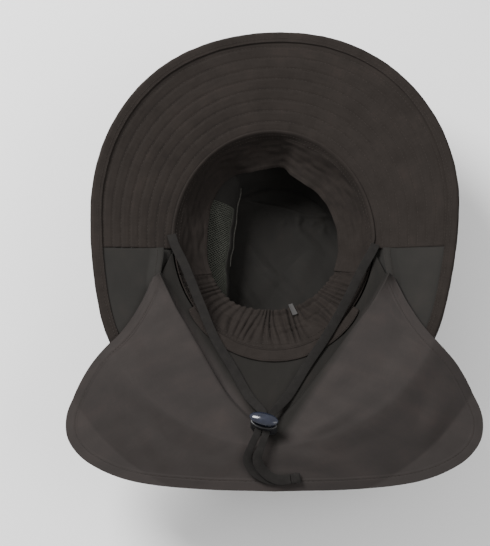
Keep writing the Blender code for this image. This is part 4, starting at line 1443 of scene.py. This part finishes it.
def make_crown(smooth_cloth, net, net_ground):
    low, high = wall_share(VENT_LOW), wall_share(VENT_HIGH)
    columns, rows = 56, 9
    finer = 5
    row_low, row_high = round(low * rows), round(high * rows)
    windows = []
    for centre in (VENT_RIGHT_DEG, VENT_LEFT_DEG):
        start = round((centre - VENT_HALF_DEG) / 360 * columns) / columns
        end = round((centre + VENT_HALF_DEG) / 360 * columns) / columns
        windows.append((start, end))

    def in_window(u, v):
        if not row_low / rows < v < row_high / rows:
            return False
        return any(start < turn < end for start, end in windows for turn in (u, u - 1))

    wall = cloth(
        "crown_side", (columns * finer, rows * finer), lambda u, v: soft_wall(math.tau * u, v),
        CROWN_WALL, (0.55, CROWN_HEIGHT), hole=in_window,
    )
    settled(wall, smooth_cloth, HAT, "smooth_cloth", "crown_wall")
    for name, node, (start, end) in zip(
        ("net_right", "net_left"), ("vent_net_right", "vent_net_left"), windows,
    ):

        def vent_surface(u, v, start=start, end=end):
            return soft_wall(math.tau * between(start, end, u), between(row_low / rows, row_high / rows, v))

        # A near-black sheet 1 mm outside the net: painted shade, seen dark through the net's holes
        def shade_sheet_surface(u, v, surface=vent_surface, start=start, end=end):
            return surface(u, v) + head_normal(math.tau * between(start, end, u)) * 0.0010

        panel = cloth(name, (44, 18), vent_surface, 0.0, (0.09, 0.035), diamonds=True)
        wires = panel.modifiers.new("Wires", "WIREFRAME")
        wires.thickness = 0.0009
        wires.use_boundary = True
        settled(panel, net, HAT, "vent_net", node)
        shade_sheet = cloth(name + "_ground", (44, 18), shade_sheet_surface, 0.0004, (0.09, 0.035))
        settled(shade_sheet, net_ground, HAT, "vent_net")

    def tip_surface(u, v):
        """The tip's inside, with the wall's seam across its front, puckers behind that and soft creases."""
        point = tip_point(math.tau * u, v)
        x, y = point.x, point.y
        behind = table_value(TIP_SEAM, x, 1) - y
        seam = TIP_SEAM_HEIGHT * hump(behind / TIP_SEAM_HALF_WIDTH)
        near = hump((behind - 0.009) / 0.013) * smooth_step(-0.01, 0.02, x)
        puckers = max(rough(x, y, 6.0, 0.0075), 0.0) * 0.0026 * near
        soft = max(rough(x, y, 0.5, 0.05) * 0.0030 + rough(x, y, 2.5, 0.02) * 0.0012, 0.0)
        for x0, y0, x1, y1, half_width, rise in TIP_CREASES:
            soft += crease(Vector((x, y)), Vector((x0, y0)), Vector((x1, y1)), half_width, rise)
        point.z += soft * (1.0 - smooth_step(0.7, 1.0, v)) + seam + puckers
        return point

    tip = cloth("crown_top", (240, 90), tip_surface, CROWN_WALL, (0.3, 0.15))
    settled(tip, smooth_cloth, HAT, "smooth_cloth", "crown_tip")


def make_piping(finish):
    """The thin pale piping along the crest of the fold inside the crown."""
    data = bpy.data.curves.new("fold_piping", "CURVE")
    data.dimensions = "3D"
    data.bevel_depth = PIPING_RADIUS
    data.bevel_resolution = 3
    data.use_fill_caps = True
    spline = data.splines.new("POLY")
    steps = 70
    spline.points.add(steps)
    off_the_cloth = Vector((CROWN_WALL / 2 + PIPING_RADIUS / 2, 0.0, PIPING_RADIUS))
    for index, point in enumerate(spline.points):
        theta = math.radians(between(PIPING_START_DEG, PIPING_END_DEG, index / steps))
        point.co = (*(soft_wall(theta, SIDE_FOLD_SHARE) + off_the_cloth), 1.0)
    settled(linked("fold_piping", data), finish, HAT, "smooth_cloth")


def main():
    make_camera()
    make_studio()
    canvas = cloth_material(
        "brim_canvas", (0.0195, 0.0162, 0.0144), 0.00075, 0.55, 0.36, 0.88, 0.01, 0.00022, (1.06, 1.0, 0.98))
    poplin = cloth_material(
        "smooth_poplin", (0.0195, 0.0185, 0.0170), 0.00045, 0.35, 0.18, 0.74, 0.015, 0.00010,
        (1.08, 1.0, 0.99))
    # The flap's cloth, with a darker colour painted between its folds as the valley's shade
    flap_poplin = cloth_material(
        "flap_poplin", (0.0290, 0.0252, 0.0238), 0.00045, 0.35, 0.18, 0.74, 0.015, 0.00010, (1.08, 1.0, 0.99),
        valley_shade=(0.0145, 0.0135, 0.0122))
    net = cloth_material("net_yarn", (0.060, 0.062, 0.052), 0.0004, 0.5, 0.5, 0.7, 0.02, 0.0001)
    # Near-black finish of the sheet behind the nets: painted shade seen through their holes
    net_ground = cloth_material("net_ground", (0.0050, 0.0050, 0.0046), 0.0004, 0.5, 0.5, 0.8, 0.0, 0.0001)
    tape = tape_material("strap_weave", (0.0125, 0.0115, 0.0107))
    tab_cloth = cloth_material("tab_weave", (0.060, 0.058, 0.057), 0.0005, 0.5, 0.3, 0.8, 0.02, 0.0001)
    thread = thread_material("thread", (0.030, 0.0255, 0.0225))
    piping = thread_material("piping", (0.075, 0.072, 0.064))
    body_plastic = plastic_material("moulded_black", (0.010, 0.010, 0.011), 0.38, 0.25)
    head_plastic = plastic_material("glossy_navy", (0.012, 0.014, 0.024), 0.16, 0.08)
    frame_of_lock = lock_frame()
    make_straps(tape, frame_of_lock)
    make_lock(body_plastic, head_plastic, frame_of_lock)
    make_front_brim(canvas, thread)
    make_rear_brim(poplin, thread)
    make_binding(canvas, thread)
    make_sweatband(canvas, thread, tab_cloth)
    flap = make_flap(flap_poplin, thread)
    make_seam_tape(canvas, thread)
    make_crown(poplin, net, net_ground)
    make_piping(piping)


main()
